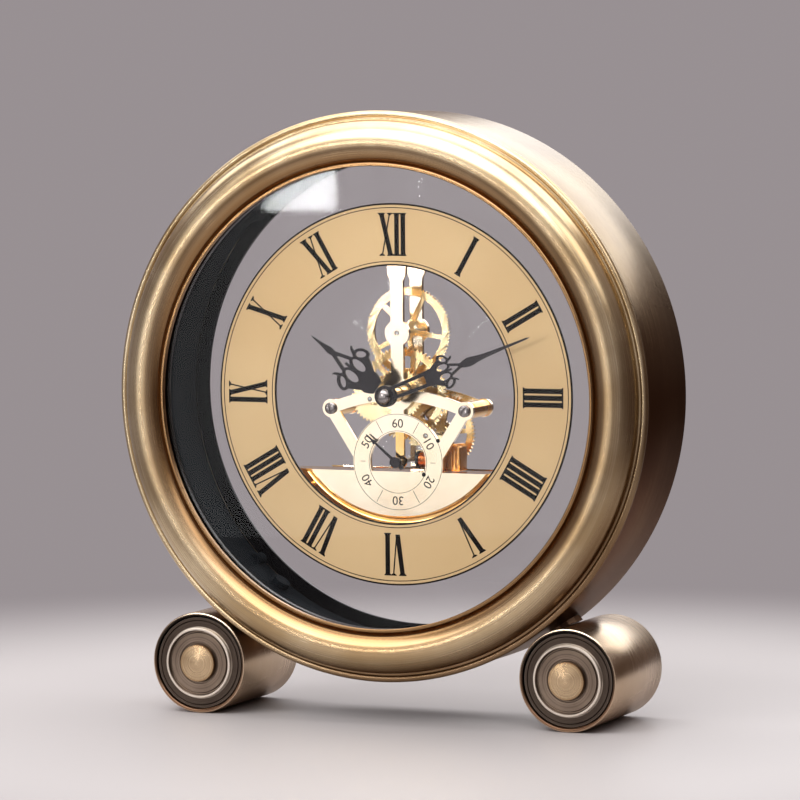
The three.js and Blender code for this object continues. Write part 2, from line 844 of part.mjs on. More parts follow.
function buildPlates() {
  const pivot = arborRadius + runningGap;
  const frontParts = skeletonPlates(plateFront);
  for (const [, side] of sides) {
    frontParts.push(bar([side * pillarX, pillarZ], [side * legFootX, secondsZ + legRise], legWidth,
      plateFront, plateThickness));
  }
  frontParts.push(disc(0, secondsZ, secondsRing, plateFront, plateThickness, footFacets));
  frontParts.push(segmentPlate(baseRadius, baseTop, -baseRadius, smallFacets, plateFront,
    plateThickness));
  const frontHoles = [
    plateHole(0, 0, hourPipe + seatGap, plateFront, smallFacets),
    plateHole(0, topWheelZ, pivot, plateFront),
    plateHole(thirdX, thirdZ, pivot, plateFront),
    plateHole(motionX, motionZ, motionStudRadius + seatGap, plateFront),
    plateHole(-pillarX, pillarZ, plateScrewRadius + seatGap, plateFront),
    plateHole(pillarX, pillarZ, plateScrewRadius + seatGap, plateFront),
    secondsWindow(),
  ];
  piece(clock, 'front_plate', 'mirrorGold', cut(joined(...frontParts), ...frontHoles));

  const rearParts = skeletonPlates(rearPlateFront);
  rearParts.push(bar([0, 0], [0, baseTop - overrun], linkWidth, rearPlateFront, plateThickness));
  rearParts.push(bar([0, 0], [thirdX, thirdZ], linkWidth, rearPlateFront, plateThickness));
  rearParts.push(disc(thirdX, thirdZ, rearBossRadius, rearPlateFront, plateThickness, smallFacets));
  rearParts.push(segmentPlate(baseRadius, baseTop, rearBaseBottom, smallFacets, rearPlateFront,
    plateThickness));
  const stud = studRadius + seatGap;
  const rearHoles = [
    plateHole(0, 0, pivot, rearPlateFront),
    plateHole(0, topWheelZ, pivot, rearPlateFront),
    plateHole(thirdX, thirdZ, pivot, rearPlateFront),
    plateHole(0, secondsZ, pivot, rearPlateFront),
    plateHole(-pillarX, pillarZ, plateScrewRadius + seatGap, rearPlateFront),
    plateHole(pillarX, pillarZ, plateScrewRadius + seatGap, rearPlateFront),
    plateHole(0, topPillarZ, stud, rearPlateFront),
    plateHole(-basePillarX, basePillarZ, stud, rearPlateFront),
    plateHole(basePillarX, basePillarZ, stud, rearPlateFront),
  ];
  piece(clock, 'rear_plate', 'mirrorGold', cut(joined(...rearParts), ...rearHoles));
}

// The round opening of the seconds ring, closed below by the base
function secondsWindow() {
  const whole = disc(0, secondsZ, secondsBore, plateFront - overrun, plateThickness + 2 * overrun,
    footFacets);
  const below = block(-secondsRing, secondsZ - secondsRing, secondsRing, baseTop,
    plateFront - 2 * overrun, plateRear + 2 * overrun);
  return cut(whole, below);
}

function buildPillars() {
  const screwHole = plateScrewRadius + seatGap;
  const bodyRear = rearPlateFront - seatGap;
  for (const [label, side] of sides) {
    const pillar = revolved([
      [0, behindPlate + plateScrewDepth],
      [screwHole, behindPlate + plateScrewDepth],
      [screwHole, behindPlate],
      [pillarRadius, behindPlate],
      [pillarRadius, bodyRear],
      [plateScrewRadius, bodyRear],
      [plateScrewRadius, rearPlateRear],
      [0, rearPlateRear],
    ], smallFacets);
    piece(clock, `pillar_${label}`, 'mirrorGold', pillar.translate(side * pillarX, 0, pillarZ));

    const head = plateFront - seatGap;
    const screw = spindle(head - plateScrewHeight, [
      [plateScrewHead, head],
      [plateScrewRadius, behindPlate + plateScrewDepth - seatGap],
    ], smallFacets);
    const slot = block(-plateScrewHead - overrun, -slotWidth / 2, plateScrewHead + overrun,
      slotWidth / 2, head - plateScrewHeight - overrun, head - plateScrewHeight + slotDepth);
    const slotted = cut(screw, slot).rotateY(plateSlotTurn);
    piece(clock, `plate_screw_${label}`, 'steel', slotted.translate(side * pillarX, 0, pillarZ));
  }

  const studEnd = behindDisc + nutHeight;
  const longPillars = [
    ['pillar_top', 0, topPillarZ, behindPlate],
    ['pillar_base_left', -basePillarX, basePillarZ, blockRear + seatGap],
    ['pillar_base_right', basePillarX, basePillarZ, blockRear + seatGap],
  ];
  for (const [name, x, z, front] of longPillars) {
    const pillar = spindle(front, [[pillarRadius, bodyRear], [studRadius, studEnd]], smallFacets);
    piece(clock, name, 'mirrorGold', pillar.translate(x, 0, z));
    const nut = tube(studRadius + seatGap, nutRadius, behindDisc, studEnd, nutSides);
    piece(clock, name.replace('pillar', 'nut'), 'steel', nut.translate(x, 0, z));
  }
}

function buildBaseBlock() {
  const body = segmentPlate(blockRadius, baseTop, baseTop - blockHeight, smallFacets, behindPlate,
    blockRear - behindPlate);
  const flange = segmentPlate(blockRadius, baseTop, -blockRadius, smallFacets, behindPlate,
    blockFlange);
  const studs = sides.map(([, side]) => rodAt(side * blockStudX, blockStudZ, blockStudRadius,
    plateFront, behindPlate + overrun, tinyFacets));
  piece(clock, 'base_block', 'mirrorGold', joined(body, flange, ...studs));
}

// Turned solids that lie along X instead of Y
function alongX(geometry) {
  return geometry.rotateZ(-Math.PI / 2);
}

function buildMotor() {
  const coilEnd = coilStart + coilLength;
  const bore = coreSide / Math.SQRT2 + seatGap;
  const barrel = bore + bobbinWall;
  const bobbin = revolved([
    [bore, coilStart],
    [flangeRadius, coilStart],
    [flangeRadius, coilStart + flangeThickness],
    [barrel, coilStart + flangeThickness],
    [barrel, coilEnd - flangeThickness],
    [flangeRadius, coilEnd - flangeThickness],
    [flangeRadius, coilEnd],
    [bore, coilEnd],
  ], smallFacets);
  piece(clock, 'coil_bobbin', 'black', alongX(bobbin).translate(0, coilDepth, coilZ));
  const winding = tube(barrel + seatGap, flangeRadius - windingInset, coilStart + flangeThickness + seatGap,
    coilEnd - flangeThickness - seatGap, smallFacets);
  piece(clock, 'coil_winding', 'copper', alongX(winding).translate(0, coilDepth, coilZ));

  const left = arborRadius + statorClearance;
  const right = coilEnd + statorGap + statorBar;
  const bottom = coilZ - coreSide / 2;
  const top = coilZ + flangeRadius + seatGap + statorBar;
  const loop = rectangle(left, bottom, right, top);
  const inside = rectangle(left + statorBar, coilZ + coreSide / 2, right - statorBar, top - statorBar);
  loop.holes.push(new THREE.Path(inside.getPoints()));
  piece(clock, 'stator', 'steel', plate(loop, coilDepth - coreSide / 2, coreSide));

  const housingLeft = right + seatGap;
  const housingFoot = baseTop + seatGap;
  const housingShape = outline([
    [housingLeft, housingFoot],
    [housingLeft + housingWidth, housingFoot],
    [housingLeft + housingWidth, housingFoot + housingHeight - housingCorner],
    [housingLeft + housingWidth - housingCorner, housingFoot + housingHeight],
    [housingLeft + housingCorner, housingFoot + housingHeight],
    [housingLeft, housingFoot + housingHeight - housingCorner],
  ]);
  piece(clock, 'motor_housing', 'copper', plate(housingShape, blockRear - housingDepth, housingDepth));
}

// Inner and outer half-widths and heights of the battery box, as left, bottom, right, top
function boxSpan(grow) {
  const halfWidth = cellLength / 2 + cellNubLength + boxWall + seatGap + grow;
  const height = 2 * (cellRadius + boxWall + seatGap);
  return [-halfWidth, boxTop - height - grow, halfWidth, boxTop + grow];
}

function buildBattery() {
  const cellZ = boxTop - boxWall - seatGap - cellRadius;
  const flangeRear = behindDisc + boxFlangeThickness;
  const lipFrontDepth = flangeRear - coverLip;
  const cellDepth = lipFrontDepth - seatGap - cellRadius;
  const boxFront = cellDepth - cellRadius - seatGap - boxWall;
  const body = block(...boxSpan(0), boxFront, flangeRear);
  const flange = block(...boxSpan(boxFlange), behindDisc, flangeRear);
  const hollow = block(...boxSpan(-boxWall), boxFront + boxWall, flangeRear + overrun);
  piece(clock, 'battery_box', 'black', cut(joined(body, flange), hollow));

  const half = cellLength / 2;
  const cell = spindle(-half, [[cellRadius, half], [cellNubRadius, half + cellNubLength]],
    smallFacets);
  piece(clock, 'battery_cell', 'cellGreen', alongX(cell).translate(0, cellDepth, cellZ));

  const coverFront = flangeRear + seatGap;
  const coverRear = coverFront + coverThickness;
  const lid = block(...boxSpan(boxFlange), coverFront, coverRear);
  const lip = block(...boxSpan(-boxWall - seatGap), lipFrontDepth, coverFront + overrun);
  const grip = block(-coverGripWidth / 2, cellZ - coverGripBar / 2, coverGripWidth / 2,
    cellZ + coverGripBar / 2, coverRear - overrun, coverRear + coverGripHeight);
  piece(clock, 'battery_cover', 'black', joined(lid, lip, grip));
}

// Direction from one arbor to another, as an angle from +X towards +Z
function direction(fromX, fromZ, toX, toZ) {
  return Math.atan2(toZ - fromZ, toX - fromX);
}

function buildMinute() {
  const group = arborGroup(0, 0);
  const capFront = minuteHandDepth - seatGap - nutCapHeight;
  const arbor = rod(arborRadius, capFront + nutCapBevel + seatGap, behindDisc + knobLength - nutCapBevel,
    tinyFacets);
  piece(group, 'centre_arbor', 'steel', arbor);

  const toThird = direction(0, 0, thirdX, thirdZ);
  piece(group, 'centre_wheel', 'paleGold', spokedWheel(trainWheelTeeth, centreModule, toThird,
    topSpokeTurn, centreWheelFront));
  const driver = toothedOutline(topDriverTeeth, topModule, wheelToothShares,
    gapTurn(Math.PI / 2, topDriverTeeth));
  driver.holes.push(circleHole(arborRadius + seatGap, holeFacets));
  piece(group, 'top_wheel_driver', 'paleGold', plate(driver, topWheelFront, wheelThickness));

  const pipeFront = minuteHandDepth - seatGap;
  const pipeRear = motionWheelFront + wheelThickness;
  const leaves = pinion(cannonTeeth, motionModule, gapTurn(motionAngle, cannonTeeth),
    motionWheelFront);
  const pipe = rod(cannonPipe, pipeFront, pipeRear, smallFacets);
  const bore = rod(cannonBore, pipeFront - overrun, pipeRear + overrun, tinyFacets);
  piece(group, 'cannon_pinion', 'steel', cut(joined(leaves, pipe), bore));

  const hand = scrollHand(minuteHandLength, minuteBladeShares, minuteScrollShares,
    minuteHandDepth);
  const handHole = rod(cannonPipe + seatGap, minuteHandDepth - overrun,
    minuteHandDepth + handThickness + overrun, smallFacets);
  piece(group, 'minute_hand', 'blackened', cut(hand, handHole).rotateY(minuteHandTurn));

  piece(group, 'hand_nut', 'blackened', revolved([
    [0, capFront],
    [nutCapRadius - nutCapBevel, capFront],
    [nutCapRadius, capFront + nutCapBevel],
    [nutCapRadius, capFront + nutCapHeight - seatGap],
    [arborRadius + seatGap, capFront + nutCapHeight - seatGap],
    [arborRadius + seatGap, capFront + nutCapBevel],
    [0, capFront + nutCapBevel],
  ], smallFacets));

  piece(group, 'setting_knob', 'black', revolved([
    [0, behindDisc + knobLength],
    [knobRadius - edgeBevel, behindDisc + knobLength],
    [knobRadius, behindDisc + knobLength - edgeBevel],
    [knobRadius, behindDisc],
    [arborRadius + seatGap, behindDisc],
    [arborRadius + seatGap, behindDisc + knobLength - nutCapBevel + seatGap],
    [0, behindDisc + knobLength - nutCapBevel + seatGap],
  ], knobSides));
}

// A hand of scroll rings on a leaf-shaped blade, pointing up from its hub
function scrollHand(length, bladeShares, scrollShares, front) {
  const edge = bladeShares.map(([along, half]) => [half * length, along * length]);
  const blade = outline([...edge, ...edge.map(([x, z]) => [-x, z]).reverse()]);
  const rings = [disc(0, 0, handHub, front, handThickness, smallFacets)];
  const holes = [];
  for (const [along, across, size] of scrollShares) {
    const places = across > 0 ? [-across, across] : [0];
    for (const place of places) {
      rings.push(disc(place * length, along * length, size * length, front, handThickness,
        scrollFacets));
      holes.push(disc(place * length, along * length, size * length - scrollWall, front - overrun,
        handThickness + 2 * overrun, holeFacets));
    }
  }
  return cut(joined(plate(blade, front, handThickness), ...rings), ...holes);
}

function buildHour() {
  const group = arborGroup(0, 0);
  const pipeFront = hourHandDepth - seatGap;
  const teeth = plate(toothedOutline(hourWheelTeeth, hourModule, wheelToothShares,
    motionAngle), hourWheelFront, wheelThickness);
  const pipeRear = hourWheelFront + wheelThickness;
  const pipe = rod(hourPipe, pipeFront, pipeRear, smallFacets);
  const bore = rod(hourBore, pipeFront - overrun, pipeRear + overrun, smallFacets);
  piece(group, 'hour_wheel', 'paleGold', cut(joined(teeth, pipe), bore));

  const hand = scrollHand(hourHandLength, hourBladeShares, hourScrollShares, hourHandDepth);
  const handHole = rod(hourPipe + seatGap, hourHandDepth - overrun,
    hourHandDepth + handThickness + overrun, smallFacets);
  piece(group, 'hour_hand', 'blackened', cut(hand, handHole).rotateY(hourHandTurn));
}

function buildMotionWork() {
  const group = arborGroup(motionX, motionZ);
  const towardsCentre = motionAngle + Math.PI;
  const wheelRear = motionWheelFront + wheelThickness;
  const leaves = plate(toothedOutline(hourPinionTeeth, hourModule, leafToothShares,
    gapTurn(towardsCentre, hourPinionTeeth)), hourWheelFront, wheelRear - hourWheelFront);
  const wheel = plate(toothedOutline(motionWheelTeeth, motionModule, wheelToothShares,
    towardsCentre), motionWheelFront, wheelThickness);
  const bore = rod(motionStudRadius + runningGap, hourWheelFront - overrun, wheelRear + overrun,
    tinyFacets);
  piece(group, 'motion_wheel', 'paleGold', cut(joined(leaves, wheel), bore));

  const washerFront = wheelRear + runningGap;
  const stud = spindle(plateFront, [
    [motionStudRadius, washerFront],
    [washerRadius, washerFront + washerThickness],
  ], tinyFacets);
  piece(clock, 'motion_stud', 'steel', stud.translate(motionX, 0, motionZ));
}

// A plain arbor between the two plates
function plateArbor() {
  return rod(arborRadius, plateFront, rearPlateRear, tinyFacets);
}

function buildThird() {
  const group = arborGroup(thirdX, thirdZ);
  const toCentre = direction(thirdX, thirdZ, 0, 0);
  const toSeconds = direction(thirdX, thirdZ, 0, secondsZ);
  const leaves = pinion(trainPinionTeeth, centreModule, gapTurn(toCentre, trainPinionTeeth),
    centreWheelFront);
  piece(group, 'third_arbor', 'steel', joined(plateArbor(), leaves));
  piece(group, 'third_wheel', 'paleGold', spokedWheel(thirdWheelTeeth, thirdModule, toSeconds,
    toSeconds, thirdWheelFront));
}

function buildSeconds() {
  const group = arborGroup(0, secondsZ);
  const toThird = direction(0, secondsZ, thirdX, thirdZ);
  const leaves = pinion(trainPinionTeeth, thirdModule, gapTurn(toThird, trainPinionTeeth),
    thirdWheelFront);
  const hubFront = secondsHandDepth + secondsHandThickness - secondsHubHeight;
  const hubFloor = hubFront + secondsHandThickness;
  const arbor = rod(arborRadius, hubFloor + seatGap, rearPlateRear, tinyFacets);
  piece(group, 'seconds_arbor', 'steel', joined(arbor, leaves));

  const blade = outline([
    [-secondsHandWidth / 2, -secondsHandTail],
    [secondsHandWidth / 2, -secondsHandTail],
    [secondsHandTip / 2, secondsHandLength],
    [-secondsHandTip / 2, secondsHandLength],
  ]);
  const hub = rod(secondsHub, hubFront, hubFront + secondsHubHeight, smallFacets);
  const hubBore = rod(arborRadius + seatGap, hubFloor, plateFront, tinyFacets);
  const hand = cut(joined(plate(blade, secondsHandDepth, secondsHandThickness), hub), hubBore);
  piece(group, 'seconds_hand', 'blackened', hand.rotateY(secondsHandTurn));

  const bridge = joined(
    bar([0, bridgeTop], [0, secondsZ], bridgeWidth, behindPlate, bridgeThickness),
    disc(0, secondsZ, bridgeHub, behindPlate, bridgeThickness, smallFacets),
  );
  const pivot = rodAt(0, secondsZ, arborRadius + runningGap, behindPlate - overrun,
    behindPlate + bridgeThickness + overrun, tinyFacets);
  piece(clock, 'seconds_bridge', 'paleGold', cut(bridge, pivot));
}

function buildTopWheel() {
  const group = arborGroup(0, topWheelZ);
  piece(group, 'top_arbor', 'steel', plateArbor());
  piece(group, 'top_wheel', 'paleGold', spokedWheel(topWheelTeeth, topModule, -Math.PI / 2,
    topSpokeTurn, topWheelFront));
}

buildCase();
buildLinerAndBack();
sides.forEach(([label, side]) => buildFoot(label, side));
buildDial();
buildPlates();
buildPillars();
buildBaseBlock();
buildMotor();
buildBattery();
buildMinute();
buildHour();
buildMotionWork();
buildThird();
buildSeconds();
buildTopWheel();

export default clock;
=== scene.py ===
# %% [markdown]
# # Dressing a desk clock
# The clock is a brass drum on two cylinder feet, with a dial ring and a skeleton quartz movement
# inside. The CAD model arrives as a fixed frame of plain faceted solids. This notebook puts smooth,
# finished pieces in their places, one kind of work at a time, and ends with the light and camera.
# Every length below is in millimetres, and turns into Blender's metres in one place.

# %% Load the frame
import math

import bpy
from mathutils import Matrix, Vector


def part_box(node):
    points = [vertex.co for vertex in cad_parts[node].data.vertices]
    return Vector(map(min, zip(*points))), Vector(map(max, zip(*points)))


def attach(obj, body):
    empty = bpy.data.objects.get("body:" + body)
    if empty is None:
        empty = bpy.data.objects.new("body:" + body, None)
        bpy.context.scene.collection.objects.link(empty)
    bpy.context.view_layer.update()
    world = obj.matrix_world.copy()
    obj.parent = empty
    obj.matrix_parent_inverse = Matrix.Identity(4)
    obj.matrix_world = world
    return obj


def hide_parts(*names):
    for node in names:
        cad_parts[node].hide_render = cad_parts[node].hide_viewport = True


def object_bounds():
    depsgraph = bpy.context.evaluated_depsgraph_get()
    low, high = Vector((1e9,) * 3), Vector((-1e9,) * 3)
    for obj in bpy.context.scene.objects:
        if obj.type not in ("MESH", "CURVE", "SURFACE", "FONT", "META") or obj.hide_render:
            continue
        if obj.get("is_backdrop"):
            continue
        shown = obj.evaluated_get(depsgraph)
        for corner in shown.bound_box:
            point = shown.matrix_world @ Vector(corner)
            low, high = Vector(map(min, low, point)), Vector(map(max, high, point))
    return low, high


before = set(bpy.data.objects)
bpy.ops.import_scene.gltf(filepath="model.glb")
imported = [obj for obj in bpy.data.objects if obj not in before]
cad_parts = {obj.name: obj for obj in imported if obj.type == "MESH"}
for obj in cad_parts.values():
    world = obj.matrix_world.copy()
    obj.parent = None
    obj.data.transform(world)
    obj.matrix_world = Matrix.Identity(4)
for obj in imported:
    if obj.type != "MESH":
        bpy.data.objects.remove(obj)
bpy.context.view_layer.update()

# %% [markdown]
# ## Places
# A maker measures a clock from its own axis, so places are given as x to the right, depth from the
# bezel's widest circle to the back, and z up from the axis. The drum's box says where that axis is.

# %% Clock coordinates
MM = 0.001
DRUM_FRONT = 2.3
drum_low, drum_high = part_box("drum_case")
AXIS_HEIGHT = (drum_low.z + drum_high.z) / 2
ZERO_DEPTH = drum_low.y - DRUM_FRONT * MM


def place(x, depth, z):
    return Vector((x * MM, ZERO_DEPTH + depth * MM, AXIS_HEIGHT + z * MM))


def polar(radius, angle, x=0.0, z=0.0):
    """The x and z of a point at a distance and angle, from +x towards +z."""
    return x + radius * math.cos(angle), z + radius * math.sin(angle)


def span(node):
    """Front and rear depth of a CAD node."""
    low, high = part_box(node)
    return (low.y - ZERO_DEPTH) / MM, (high.y - ZERO_DEPTH) / MM


def middle(node):
    """The x and z of a CAD node's middle."""
    low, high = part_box(node)
    return (low.x + high.x) / 2 / MM, ((low.z + high.z) / 2 - AXIS_HEIGHT) / MM


def edges(node):
    """Left, foot, right and top of a CAD node."""
    low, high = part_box(node)
    return low.x / MM, (low.z - AXIS_HEIGHT) / MM, high.x / MM, (high.z - AXIS_HEIGHT) / MM


print("axis height", round(AXIS_HEIGHT / MM, 3), "zero depth", round(ZERO_DEPTH / MM, 3))

# %% [markdown]
# ## Drawing by extrusion
# A section or an outline can be drawn as by hand: a small plane is merged to one vertex, and that
# vertex is extruded from corner to corner. From such a line come both kinds of part in a clock.
# A turned part is the line spun about an axis, and a flat part is the line filled and extruded.

# %% Helpers for drawn parts
FULL_TURN = 2 * math.pi
RIM_STEPS, DISC_STEPS = 256, 192


def deselect():
    bpy.ops.object.select_all(action="DESELECT")


def settle(piece, name):
    """Back to object mode, with the place in the mesh."""
    bpy.ops.object.mode_set(mode="OBJECT")
    bpy.ops.object.transform_apply()
    piece.name = name
    return piece


def trace(points):
    """A chain of vertices through points, left in edit mode with all of it selected."""
    deselect()
    bpy.ops.mesh.primitive_plane_add(size=MM, location=place(*points[0]))
    bpy.ops.object.mode_set(mode="EDIT")
    bpy.ops.mesh.merge(type="CENTER")
    for here, there in zip(points, points[1:]):
        step = (Vector(there) - Vector(here)) * MM
        bpy.ops.mesh.extrude_region_move(TRANSFORM_OT_translate={"value": step})
    bpy.ops.mesh.select_all(action="SELECT")
    bpy.ops.mesh.remove_doubles(threshold=1e-7)
    return bpy.context.object


def close_up():
    bpy.ops.mesh.select_all(action="SELECT")
    bpy.ops.mesh.remove_doubles(threshold=1e-6)
    bpy.ops.mesh.normals_make_consistent(inside=False)


def turned(name, profile, x=0.0, z=0.0, steps=128):
    """Spins a section of (radius, depth) corners about the line at x and z."""
    corners = [(x + radius, depth, z) for radius, depth in profile]
    if profile[0][0] > 0:
        corners.append(corners[0])
    piece = trace(corners)
    bpy.ops.mesh.spin(steps=steps, angle=FULL_TURN, center=place(x, 0, z), axis=(0, 1, 0))
    close_up()
    return settle(piece, name)


def flat(name, outline, front, thickness):
    """Fills an outline of (x, z) corners and extrudes it to the back."""
    corners = [(x, front, z) for x, z in [*outline, outline[0]]]
    piece = trace(corners)
    bpy.ops.mesh.edge_face_add()
    bpy.ops.mesh.extrude_region_move(TRANSFORM_OT_translate={"value": (0, thickness * MM, 0)})
    close_up()
    return settle(piece, name)


print("drawn parts: turned, flat")

# %% [markdown]
# ## Primitives, joins and cuts
# Pierced plates and wheels are built up from rods and bars. Boolean modifiers join and cut them,
# and each is applied at once, so that the finished piece is a plain mesh. A narrow bevel on the
# edges catches the light as a real broken edge does.

# %% Helpers for built parts
def rod(name, x, z, radius, front, rear, sides=64):
    deselect()
    bpy.ops.mesh.primitive_cylinder_add(
        vertices=sides, radius=radius * MM, depth=(rear - front) * MM,
        location=place(x, (front + rear) / 2, z), rotation=(math.pi / 2, 0, 0))
    return settle(bpy.context.object, name)


def hole(x, z, radius, front, rear, sides=40):
    """A rod to cut with, which stands out of the piece at both ends."""
    return rod("hole", x, z, radius, front - 1, rear + 1, sides)


def slab(name, left, bottom, right, top, front, rear):
    deselect()
    bpy.ops.mesh.primitive_cube_add(
        size=1, location=place((left + right) / 2, (front + rear) / 2, (bottom + top) / 2),
        scale=((right - left) * MM, (rear - front) * MM, (top - bottom) * MM))
    return settle(bpy.context.object, name)


def bar(start, end, width, front, thickness, end_width=None):
    """A straight flat arm between two (x, z) points, which may taper."""
    end_width = width if end_width is None else end_width
    along = Vector((end[0] - start[0], end[1] - start[1])).normalized()
    side = Vector((-along.y, along.x)) / 2
    outline = [
        (start[0] + side.x * width, start[1] + side.y * width),
        (start[0] - side.x * width, start[1] - side.y * width),
        (end[0] - side.x * end_width, end[1] - side.y * end_width),
        (end[0] + side.x * end_width, end[1] + side.y * end_width),
    ]
    return flat("bar", outline, front, thickness)


def choose(piece):
    deselect()
    piece.select_set(True)
    bpy.context.view_layer.objects.active = piece


def combine(operation, piece, others):
    for other in others:
        choose(piece)
        bpy.ops.object.modifier_add(type="BOOLEAN")
        modifier = piece.modifiers[-1]
        modifier.operation = operation
        modifier.solver = "MANIFOLD"
        modifier.object = other
        bpy.ops.object.modifier_apply(modifier=modifier.name)
        bpy.data.objects.remove(other)
    return piece


def fuse(piece, *others):
    return combine("UNION", piece, others)


def carve(piece, *others):
    return combine("DIFFERENCE", piece, others)


BREAK_ANGLE, SMOOTH_ANGLE = math.radians(40), math.radians(36)


def soften(piece, width, segments=2):
    """Breaks the sharp edges and shades the rest smooth."""
    choose(piece)
    if width:
        bpy.ops.object.modifier_add(type="BEVEL")
        modifier = piece.modifiers[-1]
        modifier.width = width * MM
        modifier.segments = segments
        modifier.limit_method = "ANGLE"
        modifier.angle_limit = BREAK_ANGLE
        bpy.ops.object.modifier_apply(modifier=modifier.name)
    bpy.ops.object.shade_smooth_by_angle(angle=SMOOTH_ANGLE)
    return piece


def moved(piece, matrix):
    """Lays a move into a piece's mesh."""
    choose(piece)
    piece.matrix_world = matrix
    bpy.ops.object.transform_apply()
    return piece


def about(x, z, angle, scale=(1, 1, 1, 1)):
    """A clockwise turn, seen from the front, about the line at x and z, after a scaling."""
    centre = place(x, 0, z)
    return (Matrix.Translation(centre) @ Matrix.Rotation(angle, 4, "Y") @ Matrix.Diagonal(scale)
            @ Matrix.Translation(-centre))


def turned_to(piece, x, z, degrees):
    return moved(piece, about(x, z, math.radians(degrees)))


def joined(pieces, name):
    """Makes one object of separate pieces."""
    choose(pieces[0])
    for piece in pieces[1:]:
        piece.select_set(True)
    bpy.ops.object.join()
    pieces[0].name = name
    return pieces[0]


print("built parts: rod, hole, slab, bar; tools: fuse, carve, soften, turned_to, joined")

# %% [markdown]
# ## Wiring a material
# Node materials are easier to read as formulas. A Signal wraps one socket, and plus, minus and
# times on it add the Math nodes. Everything else comes from Bench.add, which takes a node's type,
# its settings and what goes into its sockets.

# %% Material helpers
class Signal:
    def __init__(self, bench, socket):
        self.bench = bench
        self.socket = socket

    def math(self, operation, first, second):
        return self.bench.add("ShaderNodeMath", {"operation": operation}, {0: first, 1: second})

    def __add__(self, other):
        return self.math("ADD", self, other)

    __radd__ = __add__

    def __mul__(self, other):
        return self.math("MULTIPLY", self, other)

    __rmul__ = __mul__

    def __sub__(self, other):
        return self.math("SUBTRACT", self, other)

    def __rsub__(self, other):
        return self.math("SUBTRACT", other, self)


class Bench:
    """The node tree of one material, or of the room."""

    def __init__(self, name, room=None):
        self.material = room or bpy.data.materials.new(name)
        self.material.use_nodes = True
        self.tree = self.material.node_tree
        self.shader = self.tree.nodes["Background" if room else "Principled BSDF"]

    def add(self, kind, settings=None, sockets=None, out=None):
        node = self.tree.nodes.new(kind)
        for key, value in (settings or {}).items():
            setattr(node, key, value)
        for key, value in (sockets or {}).items():
            self.feed(node.inputs[key], value)
        return Signal(self, node.outputs[0 if out is None else out])

    def feed(self, socket, value):
        if isinstance(value, Signal):
            self.tree.links.new(value.socket, socket)
        elif isinstance(value, tuple) and len(value) == 3 and len(socket.default_value) == 4:
            socket.default_value = (*value, 1)
        else:
            socket.default_value = value

    def principled(self, **sockets):
        for key, value in sockets.items():
            self.feed(self.shader.inputs[key.replace("_", " ").title()], value)
        return self.material

    def overlay(self, factor, coating):
        """Lays a second shader over the first one, as far as the factor says."""
        blend = self.add("ShaderNodeMixShader", None,
                         {0: factor, 1: Signal(self, self.shader.outputs[0]), 2: coating})
        self.tree.links.new(blend.socket, self.tree.nodes["Material Output"].inputs["Surface"])

    def centred(self, x=0.0, z=0.0):
        """Object coordinates counted from the line at x and z."""
        coordinates = self.add("ShaderNodeTexCoord", out="Object")
        return self.add("ShaderNodeMapping", {"vector_type": "POINT"},
                        {"Vector": coordinates, "Location": -place(x, 0, z)})

    def noise(self, vector, scale, detail=3.0):
        return self.add(
            "ShaderNodeTexNoise", None, {"Vector": vector, "Scale": scale, "Detail": detail})

    def vector_math(self, operation, vector, other=None, out="Value"):
        sockets = {0: vector} if other is None else {0: vector, 1: other}
        return self.add("ShaderNodeVectorMath", {"operation": operation}, sockets, out)

    def radius(self, vector):
        across = self.vector_math("MULTIPLY", vector, (1.0, 0.0, 1.0), "Vector")
        return self.vector_math("LENGTH", across)

    def lathe_lines(self, vector, pitch):
        """Fine lines that run round the axis, as a lathe or a brush leaves them."""
        depth = self.add("ShaderNodeSeparateXYZ", None, {"Vector": vector}, "Y")
        per_line = 1 / (pitch * MM)
        lines = self.add("ShaderNodeCombineXYZ", None,
                         {"X": self.radius(vector) * per_line, "Y": depth * per_line})
        return self.noise(lines, 1.0, 2.0)

    def mixed(self, factor, first, second):
        return self.add(
            "ShaderNodeMix", {"data_type": "RGBA"}, {0: factor, 6: first, 7: second}, out=2)

    def between(self, value, low, high):
        """The value stretched from low..high to 0..1, and held there."""
        return self.add("ShaderNodeMapRange", {"clamp": True},
                        {"Value": value, "From Min": low, "From Max": high})

    def bump(self, height, depth):
        """A bump whose height runs over depth millimetres."""
        return self.add("ShaderNodeBump", None, {"Height": height, "Distance": depth * MM})


print("material helpers ready")

# %% [markdown]
# ## Satin brass with painted shade
# The case is brass that was brushed round its axis. A painted-looking flat yellow would miss it.
# Brushing is noise stretched into rings, and soft clouds change colour and gloss. The brown that
# deepens towards the bezel's lip is some patina and mostly painted shade. A second, darker brass is
# laid over the first on the side away from the lamps. It is painted shade and painted reflection of
# a dark room and table, and on the bezel it stays off the inner half of the roll.

# %% Case brass
DOWN = (0.0, 0.0, -1.0)
BRASS_LIGHT = (0.665, 0.545, 0.365)
BRASS_DEEP = (0.415, 0.293, 0.155)
BRASS_BROWN = (0.25, 0.13, 0.05)


